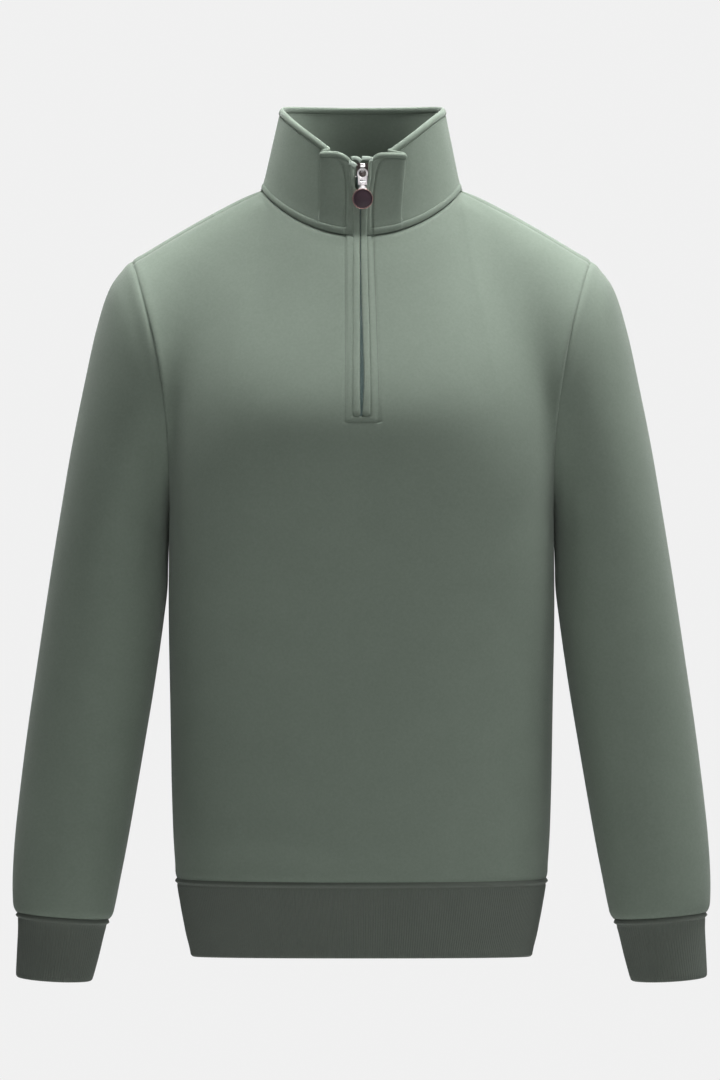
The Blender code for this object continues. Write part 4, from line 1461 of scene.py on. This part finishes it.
def build_stitches():
    fronts = ("front_of_body", "stand_collar", "neck_seam_roll")
    for side, name in ((1.0, "left"), (-1.0, "right")):
        line = [lie_on(fronts, side * zip_border_x(z, side), z) for z in steps(BORDER_FOOT_Z, 21.0, 150)]
        sew("zip_border_stitches_" + name, [hit for hit in line if hit])
    sew("zip_foot_stitches", [lie_on(fronts[:1], x, BORDER_FOOT_Z) for x in steps(-14.4, 15.6, 30)])

    def edge_line(share, side):
        up = 1.0 - (edge_height(share) + 0.3) / collar_height(share, side)
        outward = outward_at(share, up, side)
        return collar_point(share, up, side) - outward * 0.7, outward

    sew("collar_edge_stitches", round_collar(220, edge_line))
    for label, height in NECK_SEAM_LINES:
        def band_line(share, side, height=height):
            up = height / collar_height(share, side)
            outward = outward_at(share, up, side)
            return collar_point(share, up, side) + outward * 0.1, outward

        sew("neck_seam_stitches_" + label, round_collar(160, band_line))
    for name in ("hem", "cuff_left", "cuff_right"):
        for label, drop in RIB_SEAM_LINES:
            sew(name + "_stitches_" + label, ring_line(name, drop))


def ring_line(name, drop):
    """A line of points and ways out round the hem or a cuff, a distance under its seam."""
    if name == "hem":
        points = even_ring(lambda angle: torso_point(HEM_SEAM_Z - drop, angle), RING_STITCH_POINTS)
    else:
        side = 1.0 if name == "cuff_left" else -1.0
        points = cuff_ring(drop / CUFF_ROW_GAP, side, RING_STITCH_POINTS)
    ways = np.cross(np.roll(points, -1, axis=0) - np.roll(points, 1, axis=0), np.array((0.0, 0.0, 1.0)))
    ways = ways / np.linalg.norm(ways, axis=1, keepdims=True)
    line = list(zip(points - 0.35 * ways, ways))
    return line + line[:1]


# ---------------------------------------------------------------- slider, link and disc

def joint_place(name):
    """A joint's place in the frame, in metres."""
    return Vector(next(joint for joint in frame["joints"] if joint["name"] == name)["pos_m"])


def hard_box(name, centre, size):
    """A box in the hardware's own frame: X across, Y out of the cloth (negative), Z up; mm."""
    return start_primitive(bpy.ops.mesh.primitive_cube_add, name, size=1.0, location=Vector(centre) * MM,
                           scale=Vector(size) * MM)


def hard_rod(name, centre, radius, length, along, sides=48):
    """A round rod along X or Y in the hardware's own frame, mm."""
    turn = (0.0, math.pi / 2.0, 0.0) if along == "X" else (math.pi / 2.0, 0.0, 0.0)
    return start_primitive(bpy.ops.mesh.primitive_cylinder_add, name, vertices=sides, radius=radius * MM,
                           depth=length * MM, location=Vector(centre) * MM, rotation=turn)


def combine(base, other, operation):
    """Join to or cut from a piece with another, which is used up."""
    apply_modifier(base, "BOOLEAN", operation=operation, solver="EXACT", object=other)
    bpy.data.objects.remove(other)


def stand(made, place, surface_name, nodes, body):
    """Turn a hard piece to the collar's slope, set it at its place and finish it."""
    made.data.transform(Matrix.Translation(place) @ Matrix.Rotation(math.radians(-SLIDER_TILT), 4, "X"))
    finish_piece(made, surface_name, nodes, body)


def build_slider():
    place = joint_place("link_hinge")
    body = hard_box("slider_body", (0.0, HINGE_OUT - 0.6, -0.3), (8.2, 1.6, 12.6))
    taper(body, 2, -1, (0.66, 1.0, 1.0))
    taper(body, 2, 1, (0.72, 1.0, 1.0))
    raise_front(body, 1.1, -0.5)
    combine(body, hard_box("post", (0.0, HINGE_OUT + 2.3, 3.5), (1.4, 5.6, 4.0)), "UNION")
    # The wide rear plate, in the body's very dark metal, fills the gaps beside the link with black: painted
    # shade.
    combine(body, hard_box("rear", (0.0, HINGE_OUT + 5.1, -1.0), (11.4, 1.0, 17.0)), "UNION")
    soften_edges(body, 0.35, 3)
    stand(body, place, "dull_metal", ["slider"], GARMENT)
    bridge = hard_rod("slider_bridge", (0.0, 0.0, 0.0), 3.3, 3.2, "X")
    combine(bridge, hard_box("foot", (0.0, 1.5, 0.0), (3.2, 3.2, 6.4)), "UNION")
    combine(bridge, hard_rod("hollow", (0.0, 0.0, 0.0), BORE_RADIUS, 6.0, "X"), "DIFFERENCE")
    combine(bridge, hard_box("gap", (0.0, 1.2, 0.0), (6.0, 2.4, 3.5)), "DIFFERENCE")
    soften_edges(bridge, 0.3, 3)
    # The bridge's metal is the bright metal darkened: painted shade.
    stand(bridge, place, "satin_metal", ["slider"], GARMENT)
    crown = hard_box("slider_crown", (0.0, HINGE_OUT - 2.4, 4.0), (5.4, 2.6, 3.2))
    taper(crown, 2, 1, (0.8, 0.6, 1.0))
    soften_edges(crown, 0.9, 4)
    stand(crown, place, "bright_metal", ["slider"], GARMENT)


def build_link():
    link = hard_rod("pull_link_plate", (0.0, 0.0, -EYE_DROP), 5.0, PLATE_WIDTH, "Y", 64)
    plate = hard_box("plate", (0.0, 0.0, -10.2), (8.6, PLATE_WIDTH, 9.4))
    taper(plate, 2, -1, (0.94, 1.0, 1.0))
    combine(link, plate, "UNION")
    combine(link, hard_rod("eye", (0.0, 0.0, -EYE_DROP), EYE_RADIUS, 6.0, "Y", 64), "DIFFERENCE")
    combine(link, hard_box("slot", (0.0, 0.0, -11.3), (4.8, 6.0, 1.6)), "DIFFERENCE")
    soften_edges(link, 0.32, 3)
    stand(link, joint_place("link_hinge"), "bright_metal", ["pull_link"], "link")


def build_disc():
    pivot = joint_place("pendant_hinge")
    disc = hard_rod("disc_ring", (0.0, 0.0, -DISC_DROP), DISC_RADIUS, DISC_WIDTH, "Y", 72)
    raise_front(disc, 0.6, 0.6)
    soften_edges(disc, 0.22, 3, 40.0)
    stand(disc, pivot, "rose_metal", ["pull_disc"], "pendant")
    neck = hard_box("disc_neck", (0.0, 0.0, -2.6), (4.0, 1.6, 2.0))
    shoulders = hard_box("shoulders", (0.0, 0.0, -4.1), (7.6, 1.5, 2.6))
    taper(shoulders, 2, 1, (0.84, 1.0, 1.0))
    combine(neck, shoulders, "UNION")
    combine(neck, hard_rod("loop", (0.0, 0.0, 0.0), 2.35, 4.0, "X"), "UNION")
    combine(neck, hard_rod("bore", (0.0, 0.0, 0.0), BORE_RADIUS, 12.0, "X"), "DIFFERENCE")
    soften_edges(neck, 0.2, 2)
    stand(neck, pivot, "bright_metal", ["pull_disc"], "pendant")
    face = hard_rod("disc_enamel", (0.0, -0.72, -DISC_DROP), ENAMEL_RADIUS, 0.3, "Y", 72)
    edit_faces(face, lambda part: part.normal.y < -0.9)
    for inset, depth in ((0.8, 0.0), (0.25, -0.12), (0.25, 0.12)):
        bpy.ops.mesh.inset(thickness=inset * MM, depth=depth * MM)
    leave_edit()
    soften_edges(face, 0.06, 1)
    stand(face, pivot, "plum_enamel", ["disc_face"], "pendant")


# ---------------------------------------------------------------- stage

# The studio's lights: name, which is also the setting that holds the power, place, target and size.
LIGHTS = (
    ("top", (0.1, 0.08, 1.2), (0.1, 0.01, -0.2), (1.7, 0.3)),
    ("key", (0.85, -0.2, 1.2), (0.3, -0.05, -0.2), (0.5, 0.5)),
    ("left", (-0.9, 0.0, 0.9), (-0.15, 0.0, -0.15), (0.4, 0.4)),
    ("side", (1.8, -0.25, 0.4), (0.1, 0.0, -0.2), (0.7, 0.7)),
    ("front", (0.25, -2.5, -0.35), (0.0, 0.0, -0.35), (1.8, 1.2)),
    ("pull", (0.05, -2.4, 0.85), (0.0, -0.07, 0.0), (0.8, 0.5)),
    ("back", (0.4, 2.4, 1.2), (0.0, 0.0, -0.3), (1.6, 1.6)),
)


def build_stage():
    look = bpy.context.scene.sweater_stage
    scene = bpy.context.scene
    scene.view_settings.view_transform = "Standard"
    floor = start_primitive(bpy.ops.mesh.primitive_circle_add, "studio_floor", vertices=96,
                            radius=FLOOR_RADIUS, fill_type="NGON", location=(0.0, 0.0, look.floor_height))
    floor.data.materials.append(stage_surface(look.floor_shade))
    build_world(look)
    for name, place, target, size in LIGHTS:
        lamp = bpy.data.lights.new(name + "_light", "AREA")
        lamp.shape = "RECTANGLE"
        lamp.size, lamp.size_y = size
        lamp.energy = getattr(look, name)
        holder = bpy.data.objects.new(name + "_light", lamp)
        scene.collection.objects.link(holder)
        holder.location = place
        holder.rotation_euler = (Vector(target) - Vector(place)).to_track_quat("-Z", "Y").to_euler()
    lens = bpy.data.cameras.new("portrait_camera")
    lens.sensor_width = SENSOR_WIDTH
    lens.lens = LENS_LENGTH
    lens.clip_start, lens.clip_end = 0.1, 60.0
    camera = bpy.data.objects.new("portrait_camera", lens)
    scene.collection.objects.link(camera)
    camera.location = CAMERA_PLACE
    camera.rotation_euler = (math.pi / 2.0, 0.0, 0.0)
    scene.camera = camera


def build_world(look):
    """A plain backdrop for the camera and a faint even fill for everything else."""
    world = bpy.data.worlds.new("studio")
    bpy.context.scene.world = world
    world.use_nodes = True
    tree = world.node_tree
    tree.nodes.clear()
    seen = node(tree, "ShaderNodeBackground", {0: tinted(look.backdrop), 1: 1.0})
    fill = node(tree, "ShaderNodeBackground", {0: FILL_TINT, 1: look.fill})
    choose = choose_seen(tree, node(tree, "ShaderNodeLightPath").outputs["Is Camera Ray"], fill, seen)
    node(tree, "ShaderNodeOutputWorld", {0: choose})


def choose_seen(tree, share, first, second):
    """Output of a mix of two shader nodes."""
    return node(tree, "ShaderNodeMixShader", {0: share, 1: first.outputs[0], 2: second.outputs[0]}).outputs[0]


def stage_surface(shade):
    """Plain pale studio paper."""
    made, tree, shader = new_surface("studio_paper")
    tooth = noise(tree, 3.0, 2.0)
    feed(tree, shader, {"Base Color": blend_colour(tree, tooth, tinted(shade), tinted(shade, 0.98)),
                        "Roughness": 0.9})
    glow = node(tree, "ShaderNodeEmission", {0: tinted(shade), 1: 1.0})
    seen = maths(tree, "MULTIPLY", node(tree, "ShaderNodeLightPath").outputs["Is Camera Ray"], 0.8)
    feed(tree, tree.nodes["Material Output"], {"Surface": choose_seen(tree, seen, shader, glow)})
    return made


# ---------------------------------------------------------------- settings, operators and panel

def colour(name, text, default):
    return FloatVectorProperty(name=name, description=text, subtype="COLOR", size=3, min=0.0, max=1.0,
                               default=default)


def distance(name, text, default, low, high):
    return FloatProperty(name=name, description=text, default=default, min=low, max=high, unit="LENGTH")


def power(name, text, default):
    return FloatProperty(name=name, description="Power of the " + text, default=default, min=0.0,
                         unit="POWER")


class SweaterCloth(PropertyGroup):
    """Cloth settings."""
    sage: colour("Sage", "Face colour of the knit", (0.215, 0.262, 0.215))
    # Painted shade between the knit's loops, and also the darker tone of its mottle.
    sage_loop_shadow_and_mottle: colour("Sage shade", "Colour between the knit's loops", (0.15, 0.187, 0.15))
    rib: colour("Rib", "Face colour of the hem and cuffs", (0.138, 0.158, 0.135))
    # Painted shade between the rib's loops, and also the darker tone of its mottle.
    rib_loop_shadow_and_mottle: colour("Rib shade", "Colour between the ribs' loops", (0.088, 0.102, 0.086))
    thread: colour("Thread", "Colour of the sewing thread", (0.08, 0.108, 0.084))


class SweaterTrim(PropertyGroup):
    """Zip and sewing settings."""
    tape: colour("Tape", "Face colour of the zip tape", (0.5, 0.58, 0.51))
    # Painted shade between the tape's threads, and also the darker tone of its mottle.
    tape_thread_shadow_and_mottle: colour("Tape shade", "Colour between the tape's threads", (0.34, 0.41, 0.35))
    teeth: colour("Teeth", "Colour of the zip's teeth", (0.16, 0.25, 0.24))
    metal: colour("Metal", "Colour of the slider's crown and the link", (0.92, 0.88, 0.89))
    # The slider's body colour is made very dark so that it stands for the black shade in the gaps beside the
    # link: painted shade.
    darkening: colour("Shadow dark metal", "Colour of the slider's body", (0.13, 0.105, 0.1))
    rim: colour("Rim", "Colour of the disc's metal rim", (0.52, 0.33, 0.3))
    disc: colour("Disc", "Colour of the disc's face", (0.043, 0.026, 0.034))
    tooth_pitch: distance("Tooth pitch", "Distance between two teeth of one side", 0.0012, 0.0008, 0.003)
    stitch_length: distance("Stitch length", "Distance from one stitch to the next", 0.0026, 0.0015, 0.006)
    thread: distance("Thread", "Thickness of the sewing thread", 0.0004, 0.0002, 0.001)


class SweaterStage(PropertyGroup):
    """Studio settings."""
    backdrop: colour("Backdrop", "Shade behind the sweater", (0.875, 0.875, 0.875))
    floor_shade: colour("Floor", "Shade of the floor", (0.8, 0.8, 0.8))
    floor_height: distance("Floor height", "Height of the floor under the shoulders", -1.45, -3.0, -0.75)
    fill: FloatProperty(name="Fill", description="Even light from all round", default=0.03, min=0.0, max=5.0)
    top: power("Top", "wide light overhead", 49.0)
    key: power("Key", "light above the left shoulder", 9.0)
    left: power("Left", "light above the right shoulder", 1.5)
    side: power("Side", "light beside the left sleeve", 6.0)
    front: power("Front", "low soft light in front", 16.5)
    pull: power("Pull", "light that the zip pull reflects", 1.2)
    back: power("Back", "light behind", 14.0)


def maker(idname, label, text, *builders):
    """An operator class that runs some builders in order."""
    def execute(self, context):
        for build in builders:
            build()
        return {"FINISHED"}

    return type("SWEATER_OT_" + idname, (Operator,), {
        "bl_idname": "sweater." + idname, "bl_label": label, "bl_options": {"REGISTER", "UNDO"},
        "__doc__": text, "execute": execute})


MAKERS = [
    maker("stage", "Studio", "Make the floor, lights and camera", build_stage),
    maker("body", "Front and back", "Make the front and back panels", build_front, build_back),
    maker("sleeves", "Sleeves", "Make both sleeves", build_sleeves),
    maker("ribs", "Hem and cuffs", "Make the ribbed hem and cuffs", build_hem, build_cuffs),
    maker("collar", "Collar", "Make the folded stand collar", build_collar, build_collar_edge),
    maker("neck_band", "Neck band", "Make the roll over the neck seam", build_neck_band),
    maker("zip_cloth", "Zip lips and tapes", "Make the zip's cloth lips and woven tapes",
          build_lips, build_tapes, build_tape_ends),
    maker("teeth", "Zip teeth", "Make the zip's teeth", build_teeth),
    maker("stitches", "Stitches", "Sew the visible lines of stitches", build_stitches),
    maker("slider", "Slider", "Make the zip's slider", build_slider),
    maker("link", "Link", "Make the pull's link", build_link),
    maker("disc", "Disc", "Make the pull's disc", build_disc),
]
SETTINGS = {"sweater_cloth": SweaterCloth, "sweater_trim": SweaterTrim, "sweater_stage": SweaterStage}


class SWEATER_PT_panel(Panel):
    """Lists the sweater's makers and settings."""
    bl_label = "Quarter Zip Sweater"
    bl_idname = "SWEATER_PT_panel"
    bl_space_type = "VIEW_3D"
    bl_region_type = "UI"
    bl_category = "Sweater"

    def draw(self, context):
        for name in SETTINGS:
            settings = getattr(context.scene, name)
            box = self.layout.box()
            for key in settings.bl_rna.properties.keys():
                if key not in ("rna_type", "name"):
                    box.prop(settings, key)
        for made in MAKERS:
            self.layout.operator(made.bl_idname)


CLASSES = [*SETTINGS.values(), *MAKERS, SWEATER_PT_panel]


def register():
    for made in CLASSES:
        bpy.utils.register_class(made)
    for name, settings in SETTINGS.items():
        setattr(bpy.types.Scene, name, PointerProperty(type=settings))


def unregister():
    for name in SETTINGS:
        delattr(bpy.types.Scene, name)
    for made in reversed(CLASSES):
        bpy.utils.unregister_class(made)


def main():
    register()
    for made in MAKERS:
        getattr(bpy.ops.sweater, made.bl_idname.split(".")[1])()


if __name__ == "__main__":
    main()
